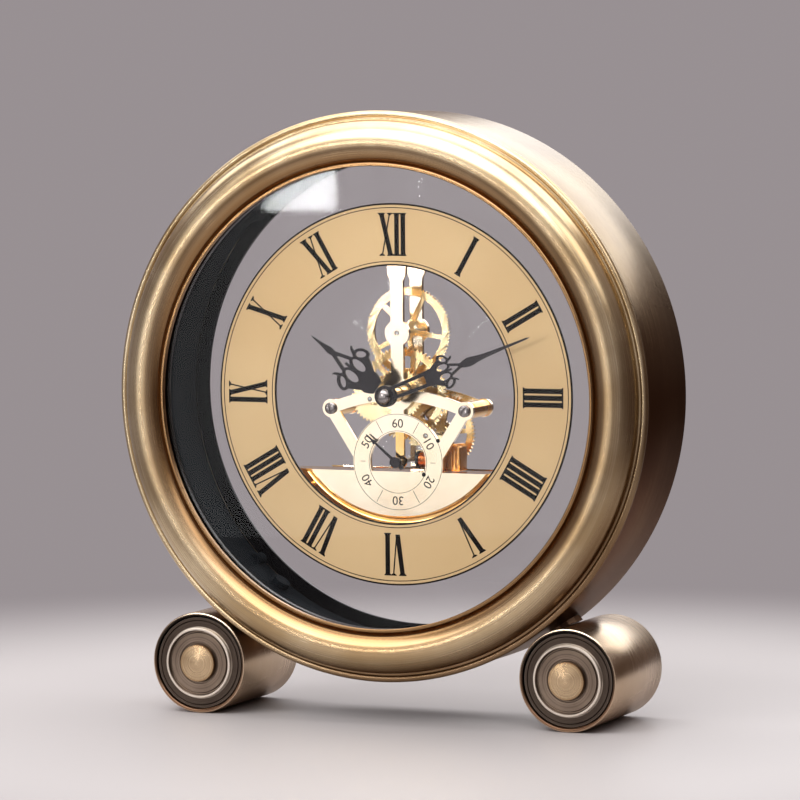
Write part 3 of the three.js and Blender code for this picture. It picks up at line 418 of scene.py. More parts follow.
def case_brass(name, x=0.0, z=0.0, light=BRASS_LIGHT, deep=BRASS_DEEP, shadows=(),
               stain_and_shade=BRASS_BROWN, painted_shade=None, painted_shade_tone=(0.095, 0.052, 0.034),
               shade_outward_of=None):
    """Brushed brass. Each shadow is a radius with none of the dark tone, one with all of it, and
    its depth.

    The painted shade is a direction, where along it the brass is clear and where darkest, and its
    share. It lays a darker brass over the first, for shade and a dark room seen in the metal. It
    can
    be kept to the outside of a ring: none inward of one radius, all of it outward of another.
    """
    bench = Bench(name)
    spot = bench.centred(x, z)
    clouds = bench.noise(spot, 28.0, 4.0)
    lines = bench.lathe_lines(spot, 0.22)
    tone = bench.between(clouds * 0.65 + lines * 0.35, 0.38, 0.64)
    colour = bench.mixed(tone, deep, light)
    radius = bench.radius(spot)
    # Dark bands by radius. On the bezel they are some patina and mostly painted shade; elsewhere
    # they are painted shade beside crevices and deep inside the case.
    for clear_at, dark, share in shadows:
        patina_and_shade = bench.between(radius, clear_at * MM, dark * MM) * share
        colour = bench.mixed(patina_and_shade * (0.8 + clouds * 0.4), colour, stain_and_shade)
    relief = bench.bump(lines, 0.006)
    # Painted shade and painted dark reflection: a darker brass mixed in along a direction.
    if painted_shade:
        way, clear_at, darkest_at, share = painted_shade
        along = bench.vector_math("DOT_PRODUCT", spot, way)
        shade_amount = bench.between(along + (clouds - 0.5) * 0.02, clear_at * MM, darkest_at * MM) * share
        if shade_outward_of:
            unshaded_radius, full_shade_radius = shade_outward_of
            shade_amount = shade_amount * bench.between(radius, unshaded_radius * MM, full_shade_radius * MM)
        shaded_brass = bench.add("ShaderNodeBsdfPrincipled", None, {
            "Base Color": bench.mixed(tone, painted_shade_tone, tuple(v * 1.5 for v in painted_shade_tone)),
            "Metallic": 1.0, "Roughness": 0.28 + lines * 0.1, "Normal": relief,
            "Specular Tint": (0.40, 0.30, 0.24)})
        bench.overlay(shade_amount, shaded_brass)
    return bench.principled(
        base_color=colour, metallic=1.0, roughness=0.17 + clouds * 0.10 + lines * 0.08,
        normal=relief)


# The drum's brass is a darker copy of the bezel's, and darker still towards the bottom: painted
# shade and painted reflection of a dark room and table.
brass = case_brass(
    "case brass", light=(0.44, 0.33, 0.19), deep=(0.25, 0.17, 0.09), painted_shade=(DOWN, -52, -2, 0.85))
# On the bezel the brown towards the lip is some patina and mostly painted shade. The darker brass
# to the lower right, on the outer half of the roll only, is painted reflection of a dark table.
bezel_brass = case_brass(
    "bezel brass", shadows=((91.0, 84.0, 0.85),), painted_shade=((0.45, 0.0, -0.89), 30, 82, 0.85),
    painted_shade_tone=(0.13, 0.07, 0.034), shade_outward_of=(89.5, 95.5))
# The glass ring and the inner edge of the rear ring are painted near-black inward of 88.4 mm:
# painted shade deep inside the case.
ring_brass = case_brass("ring brass", shadows=((88.9, 88.4, 1.3),), stain_and_shade=(0.006, 0.006, 0.007))
print(brass.name, len(brass.node_tree.nodes), "nodes,", bezel_brass.name,
      len(bezel_brass.node_tree.nodes), "nodes")

# %% [markdown]
# ## Golds of the dial and the movement
# The dial ring is a pale satin gold with a very fine grain, painted near-black on its outer side
# and bore as painted shade. The plates are plated and polished: almost a mirror, with the faintest
# ripple, so that they pick up cream from the room. Pillars and the block behind them are a deeper
# amber: painted reflection, which stands for gold seen mirrored in gold.

# %% Dial gold and mirror gold
def dial_gold():
    bench = Bench("dial gold")
    spot = bench.centred()
    grain = bench.noise(spot, 3200.0, 2.0)
    clouds = bench.noise(spot, 18.0, 3.0)
    radius = bench.radius(spot)
    # Near-black on the outer side and the bore edge: painted shade, so that these thin edges show
    # no light.
    edge = (bench.between(radius, 67.30 * MM, 67.34 * MM)
            + bench.between(radius, 45.50 * MM, 45.46 * MM))
    colour = bench.mixed(bench.between(clouds, 0.3, 0.7), (0.53, 0.365, 0.18), (0.61, 0.44, 0.235))
    return bench.principled(
        base_color=bench.mixed(edge, colour, (0.03, 0.018, 0.01)), metallic=0.85,
        roughness=0.36 + grain * 0.1,
        normal=bench.bump(grain, 0.004))


def mirror_gold(name, light, deep, roughness):
    bench = Bench(name)
    spot = bench.centred()
    ripple = bench.noise(spot, 160.0, 2.0)
    stain_and_shade = bench.noise(spot, 70.0, 4.0)
    colour = bench.mixed(bench.between(stain_and_shade, 0.35, 0.7), light, deep)
    return bench.principled(
        base_color=colour, metallic=1.0, roughness=roughness + stain_and_shade * 0.08,
        normal=bench.bump(ripple, 0.02))


gold_satin = dial_gold()
gold_plate = mirror_gold("mirror gold", (0.98, 0.86, 0.67), (0.95, 0.79, 0.57), 0.10)
gold_wheel = mirror_gold("wheel gold", (0.97, 0.82, 0.50), (0.90, 0.60, 0.26), 0.16)
# Painted reflection: a deeper amber copy of the gold, for gold seen mirrored in gold.
gold_amber = mirror_gold("amber gold", (0.93, 0.60, 0.24), (0.76, 0.38, 0.10), 0.08)
print("golds:", gold_satin.name, gold_plate.name, gold_wheel.name, gold_amber.name)

# %% [markdown]
# ## Bronze, steels, lacquer, plastics and glass
# These share one recipe: a base colour with clouds, a gloss that wanders, and a little relief.
# The glass is thin and flat, so it bends nothing. A mirror whose alpha follows Fresnel shows the
# room at the right strength and lets light through without noise.

# %% Other finishes
GRAIN = 900.0


def plain_finish(name, light, deep, roughness, metallic=0.0, relief=0.01, coat=0.0, shine=0.5):
    bench = Bench(name)
    bench.shader.inputs["Specular IOR Level"].default_value = shine
    spot = bench.centred()
    specks = bench.noise(spot, GRAIN, 2.0)
    clouds = bench.noise(spot, 45.0, 4.0)
    colour = bench.mixed(bench.between(clouds, 0.3, 0.7), light, deep)
    return bench.principled(
        base_color=colour, metallic=metallic, roughness=roughness + clouds * 0.1 + specks * 0.05,
        coat_weight=coat, normal=bench.bump(specks, relief))


def turned_bronze(name, x, z):
    """Bronze with lathe lines, darkest outside the raised ring, light on the ring and a little
    lighter near the rim.
    """
    bench = Bench(name)
    spot = bench.centred(x, z)
    lines = bench.lathe_lines(spot, 0.3)
    clouds = bench.noise(spot, 60.0, 3.0)
    radius = bench.radius(spot)
    outside = bench.between(radius, 12.6 * MM, 13.0 * MM)
    bright_ring = bench.between(radius, 11.65 * MM, 11.85 * MM) * (1 - outside)
    edge = bench.between(radius, 15.9 * MM, 16.3 * MM)
    colour = bench.mixed(bench.between(lines * 0.6 + clouds * 0.4, 0.38, 0.62),
                         (0.085, 0.060, 0.045), (0.24, 0.18, 0.135))
    colour = bench.mixed(outside * 0.75, colour, (0.030, 0.021, 0.017))
    colour = bench.mixed(bright_ring * 0.9 + edge * 0.12, colour, (0.68, 0.60, 0.51))
    return bench.principled(
        base_color=colour, metallic=0.95, roughness=0.22 + lines * 0.2,
        normal=bench.bump(lines, 0.02))


def clear_glass():
    bench = Bench("front glass")
    spot = bench.centred()
    smears = bench.noise(spot, 22.0, 5.0)
    fresnel = bench.add("ShaderNodeFresnel", None, {"IOR": 1.5})
    return bench.principled(
        base_color=(0.95, 0.97, 0.98), metallic=1.0, roughness=0.015 + smears * 0.02,
        alpha=fresnel * 0.2 + 0.002 * smears)


liner_black = plain_finish(
    "liner black", (0.004, 0.006, 0.008), (0.009, 0.012, 0.015), 0.6, shine=0.02, relief=0.0)
hand_black = plain_finish(
    "blackened steel", (0.012, 0.010, 0.012), (0.028, 0.024, 0.027), 0.25, metallic=0.2, shine=0.2)
steel = plain_finish("steel", (0.62, 0.61, 0.60), (0.48, 0.47, 0.46), 0.2, metallic=1.0)
black_plastic = plain_finish(
    "black plastic", (0.018, 0.018, 0.019), (0.03, 0.03, 0.031), 0.42, relief=0.02)
amber_plastic = plain_finish(
    "amber plastic", (1.0, 0.55, 0.17), (0.52, 0.20, 0.04), 0.08, metallic=0.8, coat=0.6,
    relief=0.004)
cell_green = plain_finish("cell jacket", (0.05, 0.16, 0.08), (0.03, 0.11, 0.055), 0.3, coat=0.3)
copper = plain_finish("copper wire", (0.80, 0.33, 0.11), (0.50, 0.17, 0.05), 0.2, metallic=1.0)
smoked_steel = plain_finish(
    "smoked steel", (0.34, 0.31, 0.30), (0.22, 0.20, 0.20), 0.1, metallic=1.0, relief=0.002)
dial_ink = plain_finish(
    "dial ink", (0.004, 0.003, 0.003), (0.009, 0.007, 0.006), 0.6, shine=0.02, relief=0.001)
glass = clear_glass()
print("finishes:", len(bpy.data.materials))

# %% [markdown]
# ## Fitting a piece
# Each finished piece gets its material, rides on its CAD body and stands for the plain solid that
# it covers.

# %% Fitting
def dress(mesh, material):
    mesh.materials.clear()
    mesh.materials.append(material)


def fit(piece, slot, material, *nodes, body="case"):
    """A finished piece, on its body and in the place of the plain solids that it stands for."""
    dress(piece.data, material)
    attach(piece, body)
    if nodes:
        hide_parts(*nodes)
    print(f"{piece.name}: {len(piece.data.polygons)} faces, stands for {', '.join(nodes) or '-'}")
    return piece


def paint(material, *nodes):
    """A CAD node whose shape is right keeps it and gets a finish."""
    for node in nodes:
        dress(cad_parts[node].data, material)


# %% [markdown]
# ## Bezel and drum
# The bezel is one turning: a rim bead, a dark groove, a half-round roll, and a thin lip that holds
# the glass. Its section is drawn once, with arcs worked out as points, and spun. Modelling it as a
# torus and rings would leave seams where light shows that they are separate.

# %% Bezel
RIM = 100.0
BEAD = 1.3
GROOVE = 0.65
ROLL_IN, ROLL_OUT = 81.6, RIM - 2 * BEAD - GROOVE
LIP = 80.75


def arc(centre, middle_depth, half_width, height, start, end, steps):
    """Points of an oval arc in a section, from start to end in degrees, outward being 0."""
    points = []
    for i in range(steps + 1):
        angle = math.radians(start + (end - start) * i / steps)
        points.append(
            (centre + half_width * math.cos(angle), middle_depth - height * math.sin(angle)))
    return points


roll = arc((ROLL_IN + ROLL_OUT) / 2, -1.0, (ROLL_OUT - ROLL_IN) / 2, 6.93, 154.8, 0, 28)
bead = arc(RIM - BEAD, 0.4, BEAD, BEAD, 150, 0, 12)
section = [
    (99.4, 2.0), (96.6, 2.0), (96.6, 5.7), (93.6, 5.7), (93.6, 2.0), (84.3, 2.0), (84.3, -3.9),
    (LIP, -3.9), (LIP, -5.35), (LIP + 0.25, -5.6), (ROLL_IN, -5.6), (ROLL_IN, -5.2),
    (ROLL_IN + 0.35, -5.0), *roll, (ROLL_OUT + 0.1, -0.3), (ROLL_OUT + GROOVE - 0.05, -0.3), *bead,
    (RIM, 1.2), (99.6, 1.8)]
bezel = soften(turned("bezel_ring", section, steps=RIM_STEPS), 0)
fit(bezel, "case_brass", bezel_brass, "front_bezel")

# %% [markdown]
# The drum is a plain tube with a crisp rear edge. The holes for the foot screws are cut through it
# from the axis outwards, at the angle where the feet stand.

# %% Drum
FOOT_ANGLE = math.radians(36.15)
FOOT_SCREW_DEPTH = 28.162
FOOT_SCREW_HOLE, STUD_HOLE, REAR_SCREW_HOLE = 2.1, 1.8, 1.5
drum = turned("drum_shell", [
    (96.9, 2.3), (99.1, 2.3), (99.4, 2.6), (99.4, 40.3), (99.25, 40.65), (98.8, 40.9),
    (96.9, 40.9)], steps=RIM_STEPS)


def foot_hole(side, inner, outer):
    """A rod to cut with that points from the axis to a foot."""
    deselect()
    reach = (inner + outer) / 2
    bpy.ops.mesh.primitive_cylinder_add(
        vertices=32, radius=FOOT_SCREW_HOLE * MM, depth=(outer - inner) * MM,
        location=place(side * reach * math.sin(FOOT_ANGLE), FOOT_SCREW_DEPTH,
                       -reach * math.cos(FOOT_ANGLE)),
        rotation=(0, math.pi - side * FOOT_ANGLE, 0))
    return settle(bpy.context.object, "foot_hole")


carve(drum, *[foot_hole(side, 95, 101) for side in (-1, 1)])
fit(soften(drum, 0), "case_brass", brass, "drum_case")

# %% [markdown]
# ## Liner
# A black sleeve lines the drum, with a foot at each end and four bosses for the rear screws. It
# shows as the dark crescent inside the left of the bezel.

# %% Liner
LINER_BORE, BOSS_RING, LINER_RADIUS = 88.0, 88.6, 96.6
BOSS_PLACES = [polar(BOSS_RING, math.radians(angle)) for angle in (45, 135, 225, 315)]
liner = turned("liner_sleeve", [
    (LINER_BORE, 6.0), (LINER_RADIUS, 6.0), (LINER_RADIUS, 7.6), (89.6, 7.6), (89.6, 34.4),
    (LINER_RADIUS, 34.4), (LINER_RADIUS, 36.0), (LINER_BORE, 36.0)], steps=DISC_STEPS)
fuse(liner, *[rod("boss", *at, 2.6, 30.0, 36.0, 32) for at in BOSS_PLACES])
carve(liner, *[rod("bore", *at, REAR_SCREW_HOLE, 31.6, 37.0, 24) for at in BOSS_PLACES],
      *[foot_hole(side, 80, 100) for side in (-1, 1)])
fit(soften(liner, 0.25), "liner_black", liner_black, "inner_liner")

# %% [markdown]
# ## Glass
# The front glass is a plain disc with ground edges. The rear disc carries the movement, so it has
# holes for the pillars, the arbor and the screws, and a window for the battery box.

# %% Front glass, its ring, and the rear disc
GLASS_RADIUS = 84.0
front, rear = span("front_glass")
pane = turned("glass_front", [
    (0, front), (GLASS_RADIUS - 0.3, front), (GLASS_RADIUS, front + 0.3),
    (GLASS_RADIUS, rear - 0.3), (GLASS_RADIUS - 0.3, rear), (0, rear)], steps=DISC_STEPS)
fit(soften(pane, 0), "clear_glass", glass, "front_glass")

front, rear = span("glass_retainer")
retainer = turned("glass_ring", [
    (81.2, front), (GLASS_RADIUS, front), (GLASS_RADIUS, rear), (81.2, rear)])
fit(soften(retainer, 0.2), "case_brass", ring_brass, "glass_retainer")

front, rear = span("rear_disc")
back_pane = turned("glass_rear", [
    (0, front), (LINER_RADIUS, front), (LINER_RADIUS, rear), (0, rear)], steps=DISC_STEPS)
HANGING_PILLARS = ("top", "base_left", "base_right")
pillar_places = [middle(f"pillar_{label}") for label in HANGING_PILLARS]
openings = [hole(*at, STUD_HOLE, front, rear, 32) for at in pillar_places]
openings += [hole(*at, REAR_SCREW_HOLE, front, rear, 32) for at in BOSS_PLACES]
openings += [hole(0, 0, 1.0, front, rear, 32),
             slab("window", -24.5, -52.8, 24.5, -38.7, front - 1, rear + 1)]
fit(soften(carve(back_pane, *openings), 0.12), "clear_glass", glass, "rear_disc")

# %% [markdown]
# ## Rear ring and its screws
# A flat brass ring closes the back. Its screws are modelled once, as a turned domed head with a
# slot cut across, and copied to the four bosses.

# %% Rear ring and screws
front, rear = span("rear_ring")
ring = turned("back_ring", [
    (GLASS_RADIUS, front), (LINER_RADIUS, front), (LINER_RADIUS, rear), (GLASS_RADIUS + 0.6, rear),
    (GLASS_RADIUS, rear - 0.6)], steps=DISC_STEPS)
carve(ring, *[hole(*at, REAR_SCREW_HOLE, front, rear, 32) for at in BOSS_PLACES])
fit(soften(ring, 0.15), "case_brass", ring_brass, "rear_ring")


def copied(piece, name, dx, dz):
    """A copy of a piece, with its own mesh, moved by dx and dz."""
    choose(piece)
    bpy.ops.object.duplicate()
    twin = bpy.context.object
    bpy.ops.transform.translate(value=(dx * MM, 0, dz * MM))
    return settle(twin, name)


HALF_SLOT = 0.35
front, rear = span("rear_screw_1")
head = rear - 1.5
first_x, first_z = BOSS_PLACES[0]
screw = turned("back_screw_1", [
    (0, front), (1.2, front), (1.2, head), (2.8, head), (2.8, head + 0.7), (2.5, rear - 0.35),
    (1.8, rear - 0.1), (0, rear)], first_x, first_z, 40)
carve(screw, slab("slot", first_x - 4, first_z - HALF_SLOT, first_x + 4, first_z + HALF_SLOT,
                  rear - 0.7, rear + 1))
soften(screw, 0.08)
back_screws = [screw]
for i, (x, z) in enumerate(BOSS_PLACES[1:], 2):
    back_screws.append(copied(screw, f"back_screw_{i}", x - first_x, z - first_z))
for i, piece in enumerate(back_screws, 1):
    fit(piece, "steel", steel, f"rear_screw_{i}")

# %% [markdown]
# ## Feet
# Each foot is a brass cylinder with a bright rim, a dark turned cap set into it, and a conical
# button. All three are turned about the foot's own centre line, with small steps and arcs where
# the lathe tool left them.

# %% Feet
FOOT_X, FOOT_Z = middle("foot_button_right")
for label, side in (("left", -1), ("right", 1)):
    x = side * FOOT_X
    # Each barrel is painted near-black inward of its rim, as painted shade beside the cap. A darker
    # brass towards its bottom is painted shade and painted dark reflection. Each button darkens
    # towards its rim: painted shade by the groove round it.
    foot_brass = case_brass(
        f"foot brass {label}", x, FOOT_Z, (0.80, 0.66, 0.50), (0.55, 0.41, 0.27),
        ((17.56, 17.42, 1.0),), (0.02, 0.014, 0.012), (DOWN, -8, 14, 0.6), (0.30, 0.17, 0.10))
    cone_brass = case_brass(
        f"button brass {label}", x, FOOT_Z, (0.54, 0.40, 0.25), (0.32, 0.215, 0.12),
        ((5.6, 6.6, 0.6),))
    bronze = turned_bronze(f"cap bronze {label}", x, FOOT_Z)
    barrel = turned(f"barrel_{label}", [
        (0, 45.7), (17.4, 45.7), (17.82, 45.52), (18.0, 45.1), (18.0, 0.1), (17.85, -0.3),
        (17.5, -0.5), (17.05, -0.5), (16.8, -0.25), (16.8, 2.2), (15.6, 2.2), (15.6, 43.3),
        (0, 43.3)], x, FOOT_Z, 128)
    carve(barrel, foot_hole(side, 100, 106))
    fit(soften(barrel, 0), "case_brass", foot_brass, f"foot_barrel_{label}")

    cap = turned(f"cap_{label}", [
        (0, 1.9), (16.5, 1.9), (16.5, 0.75), (16.15, 0.3), (15.3, 0.3), (15.1, 0.55),
        (14.9, 0.3), (13.9, 0.3), (12.75, 0.3), (12.6, 0.15), (12.6, -0.95), (12.35, -1.2),
        (11.75, -1.2), (11.5, -0.95), (11.5, -0.1), (11.3, 0.12), (10.95, 0.12), (10.8, -0.1),
        (10.8, -0.25), (10.6, -0.4), (7.6, -0.4), (7.4, -0.1), (7.0, -0.1), (6.8, -0.4),
        (0, -0.4)], x, FOOT_Z, 128)
    fit(soften(cap, 0), "dark_bronze", bronze, f"foot_cap_{label}")

    button = turned(f"button_{label}", [
        (0, -0.7), (6.45, -0.7), (6.66, -0.9), (6.66, -1.75), (6.5, -2.0), (3.0, -2.4),
        (0.9, -2.66), (0, -2.7)], x, FOOT_Z, 96)
    fit(soften(button, 0), "satin_gold", cone_brass, f"foot_button_{label}")
paint(brass, "foot_saddle_left", "foot_saddle_right")
paint(liner_black, "foot_screw_left", "foot_screw_right")

# %% [markdown]
# ## Dial ring
# The ring is a satin turning, bevelled behind so that its edge looks thin. Its outlines are
# printed: thin dark rings that stand a few hundredths of a millimetre proud of its face.

# %% Dial ring and its outlines
DIAL_BORE, DIAL_RADIUS = 45.4, 67.4
dial_front, dial_rear = span("dial_ring")
dial = turned("dial_face", [
    (DIAL_BORE, dial_front + 0.08), (DIAL_BORE + 0.08, dial_front),
    (DIAL_RADIUS - 0.08, dial_front), (DIAL_RADIUS, dial_front + 0.08),
    (DIAL_RADIUS, dial_front + 0.4), (DIAL_RADIUS - 1.2, dial_rear),
    (DIAL_BORE + 1.2, dial_rear), (DIAL_BORE, dial_front + 0.4)], steps=RIM_STEPS)
print("dial", round(dial_front, 3), "to", round(dial_rear, 3))
fit(soften(dial, 0), "satin_gold", gold_satin, "dial_ring")
INK_FRONT, INK_THICK = dial_front - 0.04, 0.07


def printed_ring(name, inner, outer, front, x=0.0, z=0.0):
    rear = front + INK_THICK
    return turned(name, [(inner, front), (outer, front), (outer, rear), (inner, rear)], x, z,
                  DISC_STEPS)


outlines = [printed_ring("outline", inner, inner + width, INK_FRONT) for inner, width in (
    (DIAL_RADIUS - 0.6, 0.52), (DIAL_RADIUS - 1.75, 0.3), (DIAL_BORE + 0.08, 0.52),
    (DIAL_BORE + 1.4, 0.3))]
fit(joined(outlines, "dial_outlines"), "black_steel", dial_ink)

# %% [markdown]
# ## Roman numerals
# The numerals have thick and thin strokes and fine serifs, which the built-in font lacks. So each
# letter is drawn from flat strokes, the letters of a number are set side by side, and the number
# is turned to its hour with its foot towards the centre.

# %% Numerals
NUMERAL_HEIGHT, NUMERAL_MIDDLE = 15.1, 56.4
THICK, THIN = 1.75, 0.5
SERIF_EDGE, SERIF_DEPTH = 0.32, 0.85
LETTER_WIDTH = {"I": 2.4, "V": 5.5, "X": 5.7}
# For each letter: how far its foot is lifted, its strokes as (top, foot, width), and its serifs
# above and below as (middle, width, width of the stroke).
LETTERS = {
    "I": (0, [(0, 0, THICK)], [(0, 2.6, THICK)], [(0, 2.6, THICK)]),
    "V": (0.5, [(-1.8, 0.1, THICK), (1.75, 0.45, THIN)],
          [(-1.8, 2.8, THICK), (1.7, 2.2, THIN)], []),
    "X": (0, [(-1.8, 1.8, THICK), (1.45, -1.45, THIN)],
          [(-1.75, 2.7, THICK), (1.5, 2.1, THIN)], [(-1.5, 2.1, THIN), (1.75, 2.7, THICK)])}


def stroke(top_x, foot_x, width, low, high, front=INK_FRONT):
    half = width / 2
    return flat("stroke", [(top_x - half, high), (top_x + half, high), (foot_x + half, low),
                           (foot_x - half, low)], front, INK_THICK)


def serif(centre, width, edge, inward, stem):
    """A serif whose underside rises in a wedge to the stroke that it ends."""
    near, far = edge + inward * SERIF_EDGE, edge + inward * SERIF_DEPTH
    left, right = centre - width / 2, centre + width / 2
    return flat("serif", [(left, edge), (right, edge), (right, near), (centre + stem / 2, far),
                          (centre - stem / 2, far), (left, near)], INK_FRONT, INK_THICK)


def letter(kind, centre):
    low, high = NUMERAL_MIDDLE - NUMERAL_HEIGHT / 2, NUMERAL_MIDDLE + NUMERAL_HEIGHT / 2
    lift, strokes, above, below = LETTERS[kind]
    return ([stroke(centre + top, centre + foot, width, low + lift, high)
             for top, foot, width in strokes]
            + [serif(centre + x, width, high, -1, stem) for x, width, stem in above]
            + [serif(centre + x, width, low, 1, stem) for x, width, stem in below])


def numeral(text, hour):
    width = sum(LETTER_WIDTH[kind] for kind in text)
    edge = -width / 2
    strokes = []
    for kind in text:
        strokes += letter(kind, edge + LETTER_WIDTH[kind] / 2)
        edge += LETTER_WIDTH[kind]
    return turned_to(fuse(*strokes), 0, 0, 30 * hour)


HOURS = ["I", "II", "III", "IIII", "V", "VI", "VII", "VIII", "IX", "X", "XI", "XII"]
numerals = [numeral(text, hour) for hour, text in enumerate(HOURS, 1)]
fit(joined(numerals, "hour_numerals"), "black_steel", dial_ink)

# %% [markdown]
# ## Skeleton plates
# Two pierced plates carry the movement. Each is one sheet: a strap with a flared end, a hub, two
# curved arms that end in bosses, and a foot that is cut from a circle. Rods, bars and a filled
# ribbon are fused and the holes are cut. Drawing the whole outline at once would hide which part
# is which.

# %% What both plates share
PLATE = 1.6
STRAP_TOP = 54.0
PIPE_HOLE, PIVOT_HOLE, SCREW_HOLE = 2.65, 0.95, 1.2
PILLAR_X, PILLAR_Z = middle("plate_screw_right")
THIRD_X, THIRD_Z = middle("third_arbor")
TOP_Z = middle("top_arbor")[1]
MOTION_X, MOTION_Z = middle("motion_stud")
SECONDS_Z = -24.0
BASE_TOP, BASE_RADIUS = -27.4, 43.2


def mirrored(outline):
    return outline + [(-x, z) for x, z in reversed(outline) if x > 0.001]


def segment(radius, top, bottom, front, thickness, steps=64):
    """The part of a disc between two heights below its middle."""
    start, end = math.asin(top / radius), math.asin(max(bottom / radius, -1))
    angles = [start + (end - start) * i / steps for i in range(steps + 1)]
    return flat("segment", mirrored([polar(radius, angle) for angle in angles]), front, thickness)


def curved_arm(side, front, steps=18):
    """An arm of even width along an arc from the hub to a side boss."""
    bend = (side * PILLAR_X * 0.55, -0.8)
    end = (side * PILLAR_X, PILLAR_Z)
    left_edge, right_edge = [], []
    for i in range(steps + 1):
        t = i / steps
        x = 2 * t * (1 - t) * bend[0] + t * t * end[0]
        z = 2 * t * (1 - t) * bend[1] + t * t * end[1]
        slope = Vector((2 * (1 - t) * bend[0] + 2 * t * (end[0] - bend[0]),
                        2 * (1 - t) * bend[1] + 2 * t * (end[1] - bend[1]))).normalized() * 2
        left_edge.append((x - slope.y, z + slope.x))
        right_edge.append((x + slope.y, z - slope.x))
    return flat("arm", left_edge + right_edge[::-1], front, PLATE)


def plate_blank(front):
    rear = front + PLATE
    flare = [(-2.35, 39.6), (2.35, 39.6), (2.55, 40.6), (3.15, 41.5), (3.5, 42.5),
             (3.5, STRAP_TOP), (-3.5, STRAP_TOP), (-3.5, 42.5), (-3.15, 41.5), (-2.55, 40.6)]
    parts = [flat("flare", flare, front, PLATE), rod("hub", 0, 0, 6.0, front, rear, 96),
             rod("boss", 0, TOP_Z, 4.6, front, rear, 80)]
    for side in (-1, 1):
        parts += [curved_arm(side, front),
                  rod("boss", side * PILLAR_X, PILLAR_Z, 3.3, front, rear)]
    return fuse(bar((0, SECONDS_Z + 11.6), (0, 41), 4.7, front, PLATE), *parts)


print("side bosses at", round(PILLAR_X, 2), round(PILLAR_Z, 2))

# %% Front plate
front, rear = span("front_plate")
front_sheet = plate_blank(front)
fuse(front_sheet,
     *[bar((side * PILLAR_X, PILLAR_Z), (side * 13.9, -23.5), 4.4, front, PLATE)
       for side in (-1, 1)],
     rod("seconds", 0, SECONDS_Z, 17.2, front, rear, 128),
     segment(BASE_RADIUS, BASE_TOP, -BASE_RADIUS, front, PLATE))
window = carve(hole(0, SECONDS_Z, 10.6, front, rear, 96),
               slab("below", -18, -45, 18, BASE_TOP, front - 2, rear + 2))
carve(front_sheet, window, *[hole(*place_and_radius, front, rear) for place_and_radius in (
    (0, 0, PIPE_HOLE), (0, TOP_Z, PIVOT_HOLE), (THIRD_X, THIRD_Z, PIVOT_HOLE),
    (MOTION_X, MOTION_Z, 0.9), (-PILLAR_X, PILLAR_Z, SCREW_HOLE),
    (PILLAR_X, PILLAR_Z, SCREW_HOLE))])
front_sheet.name = "plate_front"
fit(soften(front_sheet, 0.12), "mirror_gold", gold_plate, "front_plate")

# %% Rear plate
front, rear = span("rear_plate")
rear_sheet = plate_blank(front)
fuse(rear_sheet, bar((0, 0), (0, -28.4), 5, front, PLATE),
     bar((0, 0), (THIRD_X, THIRD_Z), 5, front, PLATE),
     rod("boss", THIRD_X, THIRD_Z, 3.6, front, rear),
     segment(BASE_RADIUS, BASE_TOP, -37.6, front, PLATE))
carve(rear_sheet,
      *[hole(*at, PIVOT_HOLE, front, rear) for at in
        ((0, 0), (0, TOP_Z), (THIRD_X, THIRD_Z), (0, SECONDS_Z))],
      *[hole(side * PILLAR_X, PILLAR_Z, SCREW_HOLE, front, rear) for side in (-1, 1)],
      *[hole(*at, STUD_HOLE, front, rear) for at in pillar_places])
rear_sheet.name = "plate_rear"
fit(soften(rear_sheet, 0.12), "mirror_gold", gold_plate, "rear_plate")

# %% [markdown]
# ## Base block and bridge
# A thick gold block with a full flange stands behind the foot of the dial. Two fine ridges run
# round the flange, where it shows between dial and plate as bright and dark bands. A narrow bridge
# behind the seconds dial carries the seconds arbor.

# %% Base block and bridge
BLOCK_RADIUS = 50.0
front, rear = span("base_block")
body_front = front + 1.9
block = segment(BLOCK_RADIUS, BASE_TOP, BASE_TOP - 8.6, body_front, rear - body_front, 48)
ridges = [turned("ridge", [(inner, body_front - 0.45), (inner + 0.35, body_front - 0.6),
                           (inner + 0.7, body_front - 0.45), (inner + 0.7, body_front + 0.4),
                           (inner, body_front + 0.4)], steps=160) for inner in (43.6, 45.2)]
for ridge in ridges:
    carve(ridge, slab("above", -60, BASE_TOP - 1, 60, 60, body_front - 2, body_front + 2))
fuse(block, segment(BLOCK_RADIUS, BASE_TOP, -BLOCK_RADIUS, body_front, 1.6), *ridges,
     *[rod("stud", side * 34.5, BASE_TOP - 6.1, 1.6, front, body_front + 1, 32)
       for side in (-1, 1)])
block.name = "block_base"
fit(soften(block, 0.12), "mirror_gold", gold_amber, "base_block")

front, rear = span("seconds_bridge")
bridge = fuse(bar((0, -10.164), (0, SECONDS_Z), 3.2, front, rear - front),
              rod("boss", 0, SECONDS_Z, 2.4, front, rear, 48))
carve(bridge, hole(0, SECONDS_Z, PIVOT_HOLE, front, rear, 24))
bridge.name = "bridge_seconds"
fit(soften(bridge, 0.1), "mirror_gold", gold_amber, "seconds_bridge")

# %% [markdown]
# ## Pillars, screws and nuts
# Pillars are turned with a fine groove near each end, which breaks the mirror into bands. The two
# plate screws have a slotted cheese head. A nut is a six-sided rod with a broken edge.

# %% Pillars
def pillar(name, x, z, front, body_rear, stud_radius, stud_rear):
    return turned(name, [
        (0, front), (2.75, front), (3.0, front + 0.25), (3.0, front + 1.5), (2.7, front + 1.7),
        (2.7, front + 1.9), (3.0, front + 2.1), (3.0, body_rear - 2.1), (2.7, body_rear - 1.9),
        (2.7, body_rear - 1.7), (3.0, body_rear - 1.5), (3.0, body_rear - 0.25),
        (2.75, body_rear), (stud_radius, body_rear), (stud_radius, stud_rear), (0, stud_rear)],
        x, z, 64)


